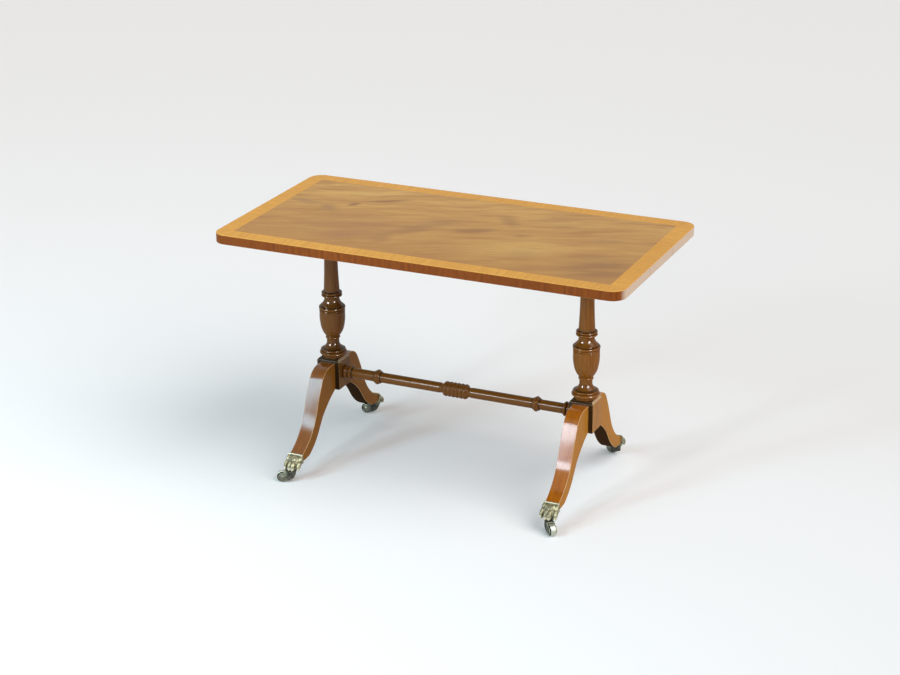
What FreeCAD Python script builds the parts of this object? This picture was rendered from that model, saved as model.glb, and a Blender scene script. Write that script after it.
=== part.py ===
import FreeCAD, Part
import os
import re
import Sketcher

# Coffee table: a crossbanded top on two turned columns, each on a square block with two sabre legs,
# a turned stretcher between the blocks, and a brass lion-paw castor under every leg.
# Millimetres. The origin is on the floor under the middle of the top, X runs along the top, Z is up.

doc = FreeCAD.newDocument("coffee_table")
sheet = doc.addObject("Spreadsheet::Sheet", "Sizes")

SIZES = {
    # the top: a board with veneer on both faces and round its edge
    "table_height": 514,
    "top_length": 845,
    "top_width": 435,
    "top_thickness": 19,
    "corner_radius": 28,
    "face_veneer": 1,
    "backing_veneer": 1,
    "edge_veneer": 1.2,
    "band_width": 33,
    "end_leaf_length": 130,
    # the bearers under the top and their screws
    "bearer_length": 300,
    "bearer_width": 64,
    "bearer_thickness": 20,
    "bearer_tip_thickness": 10,
    "bearer_slope_length": 45,
    "bearer_screw_inset": 60,
    "bearer_screw_pair": 36,
    "bearer_screw_radius": 2,
    "bearer_screw_head_radius": 4,
    "bearer_screw_length": 29,
    # the pedestals
    "end_overhang": 146,
    "block_size": 50,
    "block_height": 65,
    "block_bottom": 139,
    "block_top_bevel": 4,
    "block_foot_bevel": 1.5,
    # the turned columns
    "column_tenon_radius": 11,
    "lower_tenon_length": 20,
    "upper_tenon_length": 17,
    "turning_radius": 27,
    "turning_height": 142,
    "shaft_foot_radius": 15.4,
    "shaft_head_radius": 12.2,
    "collar_radius": 18,
    "collar_height": 21,
    # the turned stretcher, half of it from the middle outwards
    "rail_drop": 31.8,
    "rail_radius": 10.5,
    "rail_tenon_radius": 8,
    "rail_tenon_length": 18,
    "reed_pitch": 8.4,
    "reed_valley_radius": 13.2,
    "reed_flare_length": 9,
    "ring_inset": 77,
    "ring_radius": 15.6,
    "ring_width": 8,
    "end_collar_radius": 14.4,
    "end_collar_width": 19,
    # the sabre legs and their dowels
    "leg_reach": 172,
    "leg_top_drop": 7,
    "leg_top_width": 31.5,
    "leg_foot_width": 28,
    "foot_depth": 14.3,
    "foot_shoulder": 1.8,
    "foot_tenon_length": 18,
    "foot_tenon_tip": 3,
    "dowel_radius": 4,
    "dowel_in_block": 14,
    "dowel_in_leg": 20,
    "dowel_low": 12,
    "dowel_pitch": 27,
    # the lion-paw caps and their screws
    "cap_wall": 1.4,
    "cap_floor": 2.6,
    "paw_length": 28,
    "paw_width": 36,
    "paw_height": 29,
    "heel_height": 10.3,
    "heel_length": 7,
    "heel_slope": 4.5,
    "heel_plate": 2.2,
    "cap_screw_inset": 3.5,
    "cap_screw_radius": 1.5,
    "cap_screw_head_radius": 2.8,
    "cap_screw_length": 9.5,
    # the castors, each from its upright pin
    "castor_inset": 17,
    "castor_trail": 20,
    "wheel_diameter": 24,
    "wheel_width": 11,
    "wheel_edge": 2.4,
    "wheel_dish": 1.2,
    "hub_radius": 4.6,
    "axle_radius": 2,
    "axle_head_radius": 3.8,
    "fork_wall": 1.8,
    "fork_eye_radius": 8.5,
    "fork_neck_radius": 6.8,
    "fork_depth": 13,
    "fork_rise": 0.2,
    "swivel_pin_radius": 2.5,
    "swivel_pin_depth": 9,
    "swivel_head_radius": 4.2,
    "washer_radius": 5.6,
    "washer_thickness": 0.8,
    # clearances, and how far a cut runs past the face that it opens
    "glue_gap": 0.1,
    "running_gap": 0.05,
    "swivel_gap": 0.2,
    "side_gap": 0.4,
    "wheel_gap": 1.1,
    "overrun": 2,
}

for row, (word, size) in enumerate(SIZES.items(), start=1):
    sheet.set(f"A{row}", word)
    sheet.set(f"B{row}", str(size))
    sheet.setAlias(f"B{row}", word)
doc.recompute()


def bound(text):
    """The expression with each size word written as a reference to its cell."""
    return re.sub(r"[a-z_]+", lambda found: "Sizes." + found[0] if found[0] in SIZES else found[0], text)


def number(text):
    """The value that an expression has with the sizes in the sheet."""
    return float(sheet.evalExpression(bound(text)))


# Heights above the floor that several pieces share
BLOCK_TOP = "(block_bottom + block_height)"
TOP_UNDERSIDE = "(table_height - top_thickness)"
BEARER_UNDERSIDE = f"({TOP_UNDERSIDE} - bearer_thickness)"
COLUMN_LENGTH = f"({BEARER_UNDERSIDE} - {BLOCK_TOP})"
FORK_TOP = "(wheel_diameter + fork_rise)"
CAP_BOTTOM = f"({FORK_TOP} + washer_thickness + swivel_gap)"
PLATE_TOP = f"({CAP_BOTTOM} + cap_floor)"
HEEL_BOTTOM = f"({CAP_BOTTOM} + heel_height)"
FOOT_SEAT = f"({HEEL_BOTTOM} + heel_plate)"
LEG_TOP = f"({BLOCK_TOP} - leg_top_drop)"
RAIL_HEIGHT = f"({BLOCK_TOP} - rail_drop)"
CASTOR_REACH = "(leg_reach + castor_inset)"
# how far each pedestal stands from the middle of the table
PEDESTAL_REACH = "(top_length / 2 - end_overhang)"

# How far an arc stands out from its chord, as a share of the chord
QUARTER_TURN_SHARE = 0.20711
EIGHTH_TURN_SHARE = 0.09946
# a rivet's head, from its rim in to its flat top: (share of its radius, rise as a share of its radius)
RIVET_SHARES = ((1.00, 0.00), (0.94, 0.14), (0.55, 0.34), (0.00, 0.34))


def new_body(name, x="0", y="0", z="0", turn=0):
    """A body called name, whose own origin stands at x, y, z, turned about the upright axis."""
    body = doc.addObject("PartDesign::Body", name)
    body.Label = name
    body.Placement = FreeCAD.Placement(FreeCAD.Vector(), FreeCAD.Rotation(FreeCAD.Vector(0, 0, 1), turn))
    for axis, text in (("x", x), ("y", y), ("z", z)):
        body.setExpression(f"Placement.Base.{axis}", bound(text))
    return body


def origin_item(body, role):
    """The body's own origin plane or axis with this role."""
    return next(item for item in body.Origin.OriginFeatures if item.Role == role)


def new_sketch(body, name, plane, lift="0", along="0", up="0"):
    """An empty sketch on one of the body's origin planes, lifted off it and shifted in it."""
    sketch = body.newObject("Sketcher::SketchObject", f"{body.Name}_{name}")
    sketch.AttachmentSupport = [(origin_item(body, plane), "")]
    sketch.MapMode = "FlatFace"
    for axis, text in (("x", along), ("y", up), ("z", lift)):
        sketch.setExpression(f"AttachmentOffset.Base.{axis}", bound(text))
    return sketch


def hold_point(sketch, place, corner):
    """Constraints that hold one point of the sketch, each with the expression that drives it."""
    held = []
    for kind, axis, text in (("DistanceX", -2, corner[0]), ("DistanceY", -1, corner[1])):
        if text == "0":
            held.append((Sketcher.Constraint("PointOnObject", *place, axis), None))
        else:
            held.append((Sketcher.Constraint(kind, -1, 1, *place, number(text)), text))
    return held


def bind(sketch, held):
    """Adds the constraints and ties the driven ones to the sheet."""
    first = sketch.ConstraintCount
    sketch.addConstraint([constraint for constraint, text in held])
    for offset, (constraint, text) in enumerate(held):
        if text is not None:
            sketch.setExpression(f"Constraints[{first + offset}]", bound(text))


def outline(body, name, plane, corners, **shift):
    """A closed outline through the corners, taken anticlockwise.

    A corner is (across, up) or (across, up, share): with a share, the way to the next corner is an
    arc that stands out from its chord by that share of the chord, or into the outline if negative.
    """
    sketch = new_sketch(body, name, plane, **shift)
    points = [FreeCAD.Vector(number(corner[0]), number(corner[1]), 0) for corner in corners]
    count = len(corners)
    shapes, starts, ends, held = [], [], [], []
    for i, corner in enumerate(corners):
        here, there = points[i], points[(i + 1) % count]
        share = corner[2] if len(corner) > 2 else 0
        if share:
            chord = there - here
            crown = (here + there) / 2 + FreeCAD.Vector(chord.y, -chord.x, 0) * share
            # an arc is kept anticlockwise, so one that bends inwards is drawn from its far end
            shapes.append(Part.Arc(here, crown, there) if share > 0 else Part.Arc(there, crown, here))
            starts.append((i, 1 if share > 0 else 2))
            ends.append((i, 2 if share > 0 else 1))
        else:
            shapes.append(Part.LineSegment(here, there))
            starts.append((i, 1))
            ends.append((i, 2))
    sketch.addGeometry(shapes, False)
    for i, corner in enumerate(corners):
        after = corners[(i + 1) % count]
        held.append((Sketcher.Constraint("Coincident", *ends[i], *starts[(i + 1) % count]), None))
        held += hold_point(sketch, starts[i], corner)
        if len(corner) > 2:
            share = abs(corner[2])
            bend = (1 / 4 + share * share) / (2 * share)
            reach = f"hypot({after[0]} - ({corner[0]}); {after[1]} - ({corner[1]})) * {bend}"
            held.append((Sketcher.Constraint("Radius", i, sketch.Geometry[i].Radius), reach))
    bind(sketch, held)
    return sketch


def circles(body, name, plane, centres, radius, **shift):
    """A sketch of equal circles at the centres."""
    sketch = new_sketch(body, name, plane, **shift)
    held = []
    for i, centre in enumerate(centres):
        middle = FreeCAD.Vector(number(centre[0]), number(centre[1]), 0)
        sketch.addGeometry(Part.Circle(middle, FreeCAD.Vector(0, 0, 1), number(radius)), False)
        held += hold_point(sketch, (i, 3), centre)
        held.append((Sketcher.Constraint("Radius", i, number(radius)), radius))
    bind(sketch, held)
    return sketch


def extrude(body, kind, sketch, length, both_ways=False, backwards=False):
    """A Pad or Pocket of the sketch."""
    feature = body.newObject(f"PartDesign::{kind}", f"{sketch.Name}_{kind.lower()}")
    feature.Profile = sketch
    feature.SideType = "Symmetric" if both_ways else "One side"
    feature.Reversed = backwards
    feature.setExpression("Length", bound(length))
    return settle(body, kind, feature)


def turn_round(body, kind, sketch, axis="V_Axis"):
    """A Revolution or Groove of the sketch about one of its own axes."""
    feature = body.newObject(f"PartDesign::{kind}", f"{sketch.Name}_{kind.lower()}")
    feature.Profile = sketch
    feature.ReferenceAxis = (sketch, [axis])
    feature.Angle = 360
    return settle(body, kind, feature)


def settle(body, kind, feature):
    """Recomputes, and makes sure that a feature which cuts has cut."""
    before = feature.BaseFeature.Shape.Volume if feature.BaseFeature else 0
    doc.recompute()
    if kind in ("Pocket", "Groove", "Hole") and not feature.Shape.Volume < before:
        raise ValueError(f"{feature.Name} cuts nothing")
    return feature


def drill(body, sketch, radius, head_radius, backwards=False):
    """Countersunk holes right through, at the circles of the sketch."""
    doc.recompute()
    feature = body.newObject("PartDesign::Hole", f"{sketch.Name}_hole")
    feature.Profile = sketch
    feature.DepthType = "ThroughAll"
    feature.Reversed = backwards
    feature.HoleCutType = "Countersink"
    feature.HoleCutCustomValues = True
    feature.HoleCutCountersinkAngle = 90
    feature.setExpression("Diameter", bound(f"2 * ({radius})"))
    feature.setExpression("HoleCutDiameter", bound(f"2 * ({head_radius})"))
    return settle(body, "Hole", feature)


def repeat(body, kind, originals, **wanted):
    """A Mirrored or LinearPattern of features, or of the whole body when originals is empty."""
    feature = body.newObject(f"PartDesign::{kind}", f"{body.Name}_{kind.lower()}")
    if originals:
        feature.Originals = originals
    else:
        feature.TransformMode = "Whole shape"
    for setting, value in wanted.items():
        setattr(feature, setting, value)
    body.Tip = feature
    doc.recompute()
    return feature


def mirror(body, plane, originals=()):
    return repeat(body, "Mirrored", list(originals), MirrorPlane=(origin_item(body, plane), [""]))


def bevel(body, base, size, wanted):
    """A Chamfer on the edges for which wanted(edge) holds."""
    edges = [f"Edge{i}" for i, edge in enumerate(base.Shape.Edges, start=1) if wanted(edge)]
    feature = body.newObject("PartDesign::Chamfer", f"{body.Name}_bevel_{len(body.Group)}")
    feature.Base = (base, edges)
    feature.setExpression("Size", bound(size))
    doc.recompute()
    return feature


LEVEL_TOLERANCE = 1e-6


def lies_at(edge, level):
    """Whether the whole edge lies at this height."""
    return edge.BoundBox.ZLength < LEVEL_TOLERANCE and abs(edge.BoundBox.ZMin - level) < LEVEL_TOLERANCE


# The top. Each outline is the top's own, drawn in by the same amount all round.

HALF_LENGTH = "top_length / 2"
HALF_WIDTH = "top_width / 2"


def rounded_rectangle(inset):
    """The top's outline with its rounded corners, inset all round."""
    corners = []
    for sx, sy in ((1, -1), (1, 1), (-1, 1), (-1, -1)):
        long_end = (f"{sx} * ({HALF_LENGTH} - {inset})", f"{sy} * ({HALF_WIDTH} - corner_radius)")
        wide_end = (f"{sx} * ({HALF_LENGTH} - corner_radius)", f"{sy} * ({HALF_WIDTH} - {inset})")
        first, second = (wide_end, long_end) if sx * sy < 0 else (long_end, wide_end)
        corners += [(*first, QUARTER_TURN_SHARE), second]
    return corners


SCREW_RUN = "bearer_screw_pair / 2"
SCREW_REACH = "(bearer_length / 2 - bearer_screw_inset)"
SCREW_PLACES = [
    (f"{side} * {PEDESTAL_REACH} + {near} * {SCREW_RUN}", f"{end} * {SCREW_REACH}")
    for side in (-1, 1) for near in (-1, 1) for end in (-1, 1)
]
PILOT_RADIUS = "bearer_screw_radius + glue_gap"
PILOT_TOP = f"({BEARER_UNDERSIDE} + bearer_screw_length + glue_gap)"

board = new_body("top_core")
board_bottom = f"{TOP_UNDERSIDE} + backing_veneer"
slab = outline(board, "slab", "XY_Plane", rounded_rectangle("edge_veneer"), lift=board_bottom)
extrude(board, "Pad", slab, "top_thickness - backing_veneer - face_veneer")
pilots = circles(board, "pilots", "XY_Plane", SCREW_PLACES, PILOT_RADIUS, lift=PILOT_TOP)
extrude(board, "Pocket", pilots, f"{PILOT_TOP} - {TOP_UNDERSIDE}")

backing = new_body("backing_veneer")
sheet_below = outline(backing, "sheet", "XY_Plane", rounded_rectangle("edge_veneer"), lift=TOP_UNDERSIDE)
extrude(backing, "Pad", sheet_below, "backing_veneer")
pierced = circles(backing, "pierced", "XY_Plane", SCREW_PLACES, PILOT_RADIUS, lift=TOP_UNDERSIDE)
extrude(backing, "Pocket", pierced, "backing_veneer", backwards=True)

FACE_BOTTOM = "table_height - face_veneer"
FIELD_X = f"({HALF_LENGTH} - band_width)"
FIELD_Y = f"({HALF_WIDTH} - band_width)"

field = new_body("field_veneer")
panel = [(f"{sx} * {FIELD_X}", f"{sy} * {FIELD_Y}") for sx, sy in ((-1, -1), (1, -1), (1, 1), (-1, 1))]
extrude(field, "Pad", outline(field, "panel", "XY_Plane", panel, lift=FACE_BOTTOM), "face_veneer")

# A crossband is mitred: each of its ends runs from the field's corner to the middle of the rounded one.
MITRE_SHARE = 0.70711
MITRE_X = f"({HALF_LENGTH} - corner_radius * (1 - {MITRE_SHARE}))"
MITRE_Y = f"({HALF_WIDTH} - corner_radius * (1 - {MITRE_SHARE}))"


def crossband(name, side, along_x):
    """One mitred band of the frame round the field, on the side that has this sign."""
    if along_x:
        run, edge = f"({HALF_LENGTH} - corner_radius)", HALF_WIDTH
        near = [(f"-{FIELD_X}", FIELD_Y), (f"-{MITRE_X}", MITRE_Y), (f"-{run}", edge)]
    else:
        run, edge = f"({HALF_WIDTH} - corner_radius)", HALF_LENGTH
        near = [(f"-{FIELD_Y}", FIELD_X), (f"-{MITRE_Y}", MITRE_X), (f"-{run}", edge)]
    far = [(across.lstrip("-"), up) for across, up in reversed(near)]
    shares = (None, EIGHTH_TURN_SHARE, None, EIGHTH_TURN_SHARE, None, None)
    # drawn for the side at plus, then turned over to the other side if that is wanted
    corners = []
    for (across, up), share in zip(near + far, shares):
        place = (across, f"{side} * {up}") if along_x else (f"{side} * {up}", across)
        corners.append((place, share))
    if (side > 0) == along_x:
        places = [place for place, share in corners][::-1]
        bends = [share for place, share in corners][::-1]
        bends = bends[1:] + bends[:1]
        corners = list(zip(places, bends))
    body = new_body(name)
    points = [(*place, share) if share else place for place, share in corners]
    extrude(body, "Pad", outline(body, "band", "XY_Plane", points, lift=FACE_BOTTOM), "face_veneer")


crossband("crossband_front", -1, True)
crossband("crossband_back", 1, True)
crossband("crossband_left", -1, False)
crossband("crossband_right", 1, False)

# The edge is banded with four leaves. The front and back ones turn round the corners and meet the
# short leaves in the middle of the ends.
SEAM_Y = "end_leaf_length / 2"
EDGE_HEIGHT = "top_thickness - face_veneer"


def edge_wrap(name, side):
    """The leaf along the front or back, round both corners to the seams."""
    def side_of(points):
        return [(across, f"{side} * {up}") for across, up in points]

    outer = [(HALF_LENGTH, f"({SEAM_Y})"), (HALF_LENGTH, f"({HALF_WIDTH} - corner_radius)"),
             (f"({HALF_LENGTH} - corner_radius)", f"({HALF_WIDTH})")]
    inner = [(f"({HALF_LENGTH} - edge_veneer)", up) for across, up in outer[:2]]
    inner.append((outer[2][0], f"({HALF_WIDTH} - edge_veneer)"))
    left = [(f"-({across})", up) for across, up in outer]
    left_inner = [(f"-({across})", up) for across, up in inner]
    loop = side_of(outer + left[::-1] + left_inner + inner[::-1])
    bends = {1: QUARTER_TURN_SHARE, 3: QUARTER_TURN_SHARE, 7: -QUARTER_TURN_SHARE, 9: -QUARTER_TURN_SHARE}
    if side < 0:
        loop = loop[::-1]
        bends = {len(loop) - 2 - i: share for i, share in bends.items()}
    points = [(*place, bends[i]) if i in bends else place for i, place in enumerate(loop)]
    body = new_body(name)
    strip = outline(body, "strip", "XY_Plane", points, lift=TOP_UNDERSIDE)
    extrude(body, "Pad", strip, EDGE_HEIGHT)


def edge_leaf(name, side):
    """The short leaf in the middle of one end."""
    outer, inner = f"{side} * {HALF_LENGTH}", f"{side} * ({HALF_LENGTH} - edge_veneer)"
    first, second = (inner, outer) if side > 0 else (outer, inner)
    points = [(first, f"-{SEAM_Y}"), (second, f"-{SEAM_Y}"), (second, SEAM_Y), (first, SEAM_Y)]
    body = new_body(name)
    strip = outline(body, "strip", "XY_Plane", points, lift=TOP_UNDERSIDE)
    extrude(body, "Pad", strip, EDGE_HEIGHT)


edge_wrap("edge_band_front", -1)
edge_wrap("edge_band_back", 1)
edge_leaf("edge_band_left", -1)
edge_leaf("edge_band_right", 1)


def screw_profile(radius, head_radius, length):
    """Half a screw with a square countersink, seen from the side, its head's face at the origin."""
    return [
        ("0", "0"), (head_radius, "0"), (radius, f"{head_radius} - {radius}"),
        (radius, f"{length} - {radius}"), ("0", length),
    ]


# The bearers, with thinner ends, a round mortise for the column and holes for four screws


def bearer(name, side):
    body = new_body(name, x=f"{side} * {PEDESTAL_REACH}", z=BEARER_UNDERSIDE)
    end, slope_start = "bearer_length / 2", "(bearer_length / 2 - bearer_slope_length)"
    tip = "(bearer_thickness - bearer_tip_thickness)"
    profile = [
        (f"-{slope_start}", "0"), (slope_start, "0"), (end, tip), (end, "bearer_thickness"),
        (f"-{end}", "bearer_thickness"), (f"-{end}", tip),
    ]
    extrude(body, "Pad", outline(body, "bar", "YZ_Plane", profile), "bearer_width", both_ways=True)
    mortise_depth = "upper_tenon_length + glue_gap"
    mortise = circles(body, "mortise", "XY_Plane", [("0", "0")], "column_tenon_radius + glue_gap")
    extrude(body, "Pocket", mortise, mortise_depth, backwards=True)
    places = [
        (f"{near} * {SCREW_RUN}", f"{far} * {SCREW_REACH}") for near in (-1, 1) for far in (-1, 1)
    ]
    marks = circles(body, "screw_marks", "XY_Plane", places, PILOT_RADIUS)
    drill(body, marks, PILOT_RADIUS, "bearer_screw_head_radius + glue_gap", backwards=True)


bearer("bearer_left", -1)
bearer("bearer_right", 1)

screws = new_body("bearer_screws", z=BEARER_UNDERSIDE)
screw = outline(
    screws, "screw", "XZ_Plane",
    screw_profile("bearer_screw_radius", "bearer_screw_head_radius", "bearer_screw_length"),
    lift=SCREW_REACH, along=f"{PEDESTAL_REACH} - {SCREW_RUN}",
)
first_screw = turn_round(screws, "Revolution", screw)
screw_pair = repeat(
    screws, "LinearPattern", [first_screw], Direction=(origin_item(screws, "X_Axis"), [""]), Occurrences=2
)
screw_pair.setExpression("Length", bound("bearer_screw_pair"))
mirror(screws, "XZ_Plane")
mirror(screws, "YZ_Plane")

# The turned columns. A step of the turning is (share of the radius, share of the height, bulge share),
# where the bulge shapes the way to the next step: a bead or a hollow.
COLUMN_TURNING_SHARES = (
    (0.74, 0.000), (0.74, 0.014), (0.83, 0.018, 0.44), (0.83, 0.081), (0.90, 0.081), (0.91, 0.093, 0.20),
    (0.67, 0.165, -0.12), (0.455, 0.228), (0.455, 0.242, 0.30), (0.455, 0.296), (0.49, 0.303, -0.10),
    (0.70, 0.366, 0.09), (0.945, 0.620), (0.90, 0.622), (0.90, 0.637), (0.925, 0.639, 0.18),
    (0.925, 0.718), (0.88, 0.720), (0.90, 0.731, 0.20), (0.61, 0.824), (0.57, 0.826, -0.03),
    (0.57, 0.926), (0.65, 0.928, 0.44), (0.65, 0.989), (0.57, 0.991),
)
SHAFT_HOLLOW_SHARE = -0.012
COLLAR_FILLET_SHARE = 0.22
COLLAR_CAVETTO_SHARE = 0.55


def column(name, side):
    body = new_body(name, x=f"{side} * {PEDESTAL_REACH}", z=BLOCK_TOP)
    tenon = "column_tenon_radius"
    steps = [("0", "-lower_tenon_length"), (tenon, "-lower_tenon_length"), (tenon, "0")]
    for step in COLUMN_TURNING_SHARES:
        steps.append((f"turning_radius * {step[0]}", f"turning_height * {step[1]}", *step[2:]))
    collar_start = f"({COLUMN_LENGTH} - collar_height)"
    cavetto_top = f"({collar_start} + collar_height * {COLLAR_CAVETTO_SHARE})"
    steps += [
        ("shaft_foot_radius", "turning_height", SHAFT_HOLLOW_SHARE),
        ("shaft_head_radius", collar_start, -QUARTER_TURN_SHARE),
        ("collar_radius", cavetto_top, COLLAR_FILLET_SHARE),
        ("collar_radius", COLUMN_LENGTH),
        (tenon, COLUMN_LENGTH),
        (tenon, f"{COLUMN_LENGTH} + upper_tenon_length"),
        ("0", f"{COLUMN_LENGTH} + upper_tenon_length"),
    ]
    turn_round(body, "Revolution", outline(body, "turning", "XZ_Plane", steps))


column("column_left", -1)
column("column_right", 1)

# The blocks, bored for the column above, for the stretcher on the inner face and for the legs' dowels
DOWEL_HEIGHTS = ("dowel_low", "dowel_low + dowel_pitch")


def block(name, side):
    body = new_body(name, x=f"{side} * {PEDESTAL_REACH}", z="block_bottom")
    half = "block_size / 2"
    square = [(f"{sx} * {half}", f"{sy} * {half}") for sx, sy in ((-1, -1), (1, -1), (1, 1), (-1, 1))]
    solid = extrude(body, "Pad", outline(body, "square", "XY_Plane", square), "block_height")
    top = number("block_height")
    solid = bevel(body, solid, "block_top_bevel", lambda edge: lies_at(edge, top))
    solid = bevel(body, solid, "block_foot_bevel", lambda edge: lies_at(edge, 0))
    mortise = circles(
        body, "mortise", "XY_Plane", [("0", "0")], "column_tenon_radius + glue_gap", lift="block_height"
    )
    extrude(body, "Pocket", mortise, "lower_tenon_length + glue_gap")
    rail_place = [("0", "block_height - rail_drop")]
    socket = circles(
        body, "rail_socket", "YZ_Plane", rail_place, "rail_tenon_radius + glue_gap",
        lift=f"{-side} * {half}",
    )
    extrude(body, "Pocket", socket, "rail_tenon_length + glue_gap", backwards=side > 0)
    dowel_places = [("0", level) for level in DOWEL_HEIGHTS]
    bored = circles(
        body, "dowel_holes", "XZ_Plane", dowel_places, "dowel_radius + glue_gap", lift=half
    )
    holes = extrude(body, "Pocket", bored, "dowel_in_block + glue_gap")
    mirror(body, "XZ_Plane", [holes])


block("block_left", -1)
block("block_right", 1)

dowels = new_body("leg_dowels", z="block_bottom")
dowel_ends = circles(
    dowels, "ends", "XZ_Plane", [(PEDESTAL_REACH, level) for level in DOWEL_HEIGHTS],
    "dowel_radius", lift="-(block_size / 2 + dowel_in_leg)",
)
extrude(dowels, "Pad", dowel_ends, "dowel_in_leg + dowel_in_block")
mirror(dowels, "XZ_Plane")
mirror(dowels, "YZ_Plane")

# The stretcher: half of it is turned, with three reeds, a ring and an end collar, and then mirrored.
REEDS = 3
REED_BULGE_SHARE = 0.25
# across the ring and its two fillets: share of the width, share of the radius
RING_SHARES = ((-0.85, 0.80), (-0.5, 0.82), (0.5, 0.82), (0.85, 0.80))
RING_BULGE_SHARE = 0.33
# along the end collar from its inner end: share of the length, share of the radius, bulge share
END_COLLAR_SHARES = (
    (0.00, 0.84, 0.40), (0.36, 0.84), (0.38, 0.76), (0.50, 0.76), (0.52, 0.88, 0.25), (0.94, 0.88),
    (0.96, 0.80),
)


def stretcher():
    body = new_body("stretcher", z=RAIL_HEIGHT)
    shoulder = f"({PEDESTAL_REACH} - block_size / 2)"
    steps = [("0", "0")]
    for reed in range(REEDS):
        steps.append((f"reed_pitch * {reed}", "reed_valley_radius", REED_BULGE_SHARE))
    cluster_end = f"reed_pitch * {REEDS}"
    steps += [
        (cluster_end, "reed_valley_radius", -QUARTER_TURN_SHARE),
        (f"{cluster_end} + reed_flare_length", "rail_radius"),
    ]
    for i, (across, up) in enumerate(RING_SHARES):
        step = (f"{shoulder} - ring_inset + ring_width * {across}", f"ring_radius * {up}")
        steps += [(step[0], "rail_radius")] if i == 0 else []
        steps.append((*step, RING_BULGE_SHARE) if i == 1 else step)
        steps += [(step[0], "rail_radius")] if i == len(RING_SHARES) - 1 else []
    collar_start = f"({shoulder} - end_collar_width)"
    steps.append((collar_start, "rail_radius"))
    for share in END_COLLAR_SHARES:
        place = (f"{collar_start} + end_collar_width * {share[0]}", f"end_collar_radius * {share[1]}")
        steps.append((*place, *share[2:]))
    steps += [
        (shoulder, f"end_collar_radius * {END_COLLAR_SHARES[-1][1]}"),
        (shoulder, "rail_tenon_radius"),
        (f"{shoulder} + rail_tenon_length", "rail_tenon_radius"),
        (f"{shoulder} + rail_tenon_length", "0"),
    ]
    # the steps run outwards along the top of the profile, so the outline takes them the other way
    places = [step[:2] for step in steps][::-1]
    bends = [step[2] if len(step) > 2 else None for step in steps][::-1]
    bends = bends[1:] + bends[:1]
    corners = [(*place, share) if share else place for place, share in zip(places, bends)]
    half = turn_round(body, "Revolution", outline(body, "turning", "XZ_Plane", corners), "H_Axis")
    mirror(body, "YZ_Plane", [half])


stretcher()

# The sabre legs. The upper line falls from the block to the cap's mouth, the lower one from the
# block's foot to the cap's floor: (share of the way out, share of the way down, bulge share).
LEG_UPPER_SHARES = ((0, 0), (0.13, 0, 0.15), (0.42, 0.20), (0.565, 0.566, -0.095))
LEG_LOWER_SHARES = ((0, 0, 0.045), (0.40, 0.414), (0.51, 0.631, -0.06), (0.80, 0.98, -0.02))


def foot_tenon(mouth, gap):
    """The tenon that the cap holds: its shoulder, its upper tip and its lower tip."""
    tip = f"{mouth} + foot_tenon_length + {gap}"
    return [
        (mouth, f"{FOOT_SEAT} + foot_depth - foot_shoulder + {gap}"),
        (tip, f"{FOOT_SEAT} + foot_tenon_tip + {gap}"),
        (tip, FOOT_SEAT),
    ]


def leg(name, side, front):
    body = new_body(name, x=f"{side} * {PEDESTAL_REACH}", turn=180 if front else 0)
    face = "block_size / 2"
    span = f"(leg_reach - {face})"
    upper_fall = f"({LEG_TOP} - {FOOT_SEAT} - foot_depth)"
    lower_fall = f"(block_bottom + block_foot_bevel - {FOOT_SEAT})"
    lower = [
        (f"{face} + {span} * {share[0]}", f"block_bottom + block_foot_bevel - {lower_fall} * {share[1]}")
        + tuple(-bulge for bulge in share[2:]) for share in LEG_LOWER_SHARES
    ]
    upper = [
        (f"{face} + {span} * {share[0]}", f"{LEG_TOP} - {upper_fall} * {share[1]}") + share[2:]
        for share in LEG_UPPER_SHARES
    ]
    mouth = [("leg_reach", f"{FOOT_SEAT} + foot_depth")]
    # anticlockwise: out along the lower line, round the tenon, and back along the upper line
    back = upper + mouth
    places = [step[:2] for step in back][::-1]
    bends = [step[2] if len(step) > 2 else None for step in back][::-1]
    bends = bends[1:] + bends[:1]
    back = [(*place, share) if share else place for place, share in zip(places, bends)]
    corners = lower + [("leg_reach", FOOT_SEAT)] + foot_tenon("leg_reach", "0")[::-1] + back
    blank = outline(body, "side", "YZ_Plane", corners)
    extrude(body, "Pad", blank, "leg_top_width", both_ways=True)
    outside = "(leg_top_width / 2 + overrun)"
    foot_end = "(leg_reach + foot_tenon_length + overrun)"
    taper = [
        ("leg_top_width / 2", face), (outside, face), (outside, foot_end),
        ("leg_foot_width / 2", foot_end), ("leg_foot_width / 2", "leg_reach"),
    ]
    waste = outline(body, "taper", "XY_Plane", taper, lift=LEG_TOP)
    cut = extrude(body, "Pocket", waste, LEG_TOP)
    mirror(body, "YZ_Plane", [cut])
    dowel_places = [("0", f"block_bottom + {level}") for level in DOWEL_HEIGHTS]
    bored = circles(
        body, "dowel_holes", "XZ_Plane", dowel_places, "dowel_radius + glue_gap", lift=f"-{face}"
    )
    extrude(body, "Pocket", bored, "dowel_in_leg + glue_gap")
    screw_hole = circles(
        body, "screw_hole", "XY_Plane", [("0", "leg_reach + cap_screw_inset")],
        "cap_screw_radius + glue_gap", lift=FOOT_SEAT,
    )
    extrude(body, "Pocket", screw_hole, "cap_screw_length - heel_plate + glue_gap", backwards=True)


# The lion-paw cap: a plan with three toes, cut to the paw's side line and away under its heel, with a
# socket for the leg's tenon and a well for the head of the castor's pin.
# Plan, from the mouth outwards: (share of half the width, share of the length, bulge share)
PAW_PLAN_SHARES = (
    (0.955, 0.43, 0.33), (0.565, 0.89), (0.51, 0.72), (0.455, 0.84, 0.34),
    (-0.455, 0.84), (-0.51, 0.72), (-0.565, 0.89, 0.33), (-0.955, 0.43),
)
# Side line: (share of the length, share of the height, bulge share)
PAW_SIDE_SHARES = ((0.13, 0.94, -0.12), (0.64, 0.60, -0.20), (0.98, 0))


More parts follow.
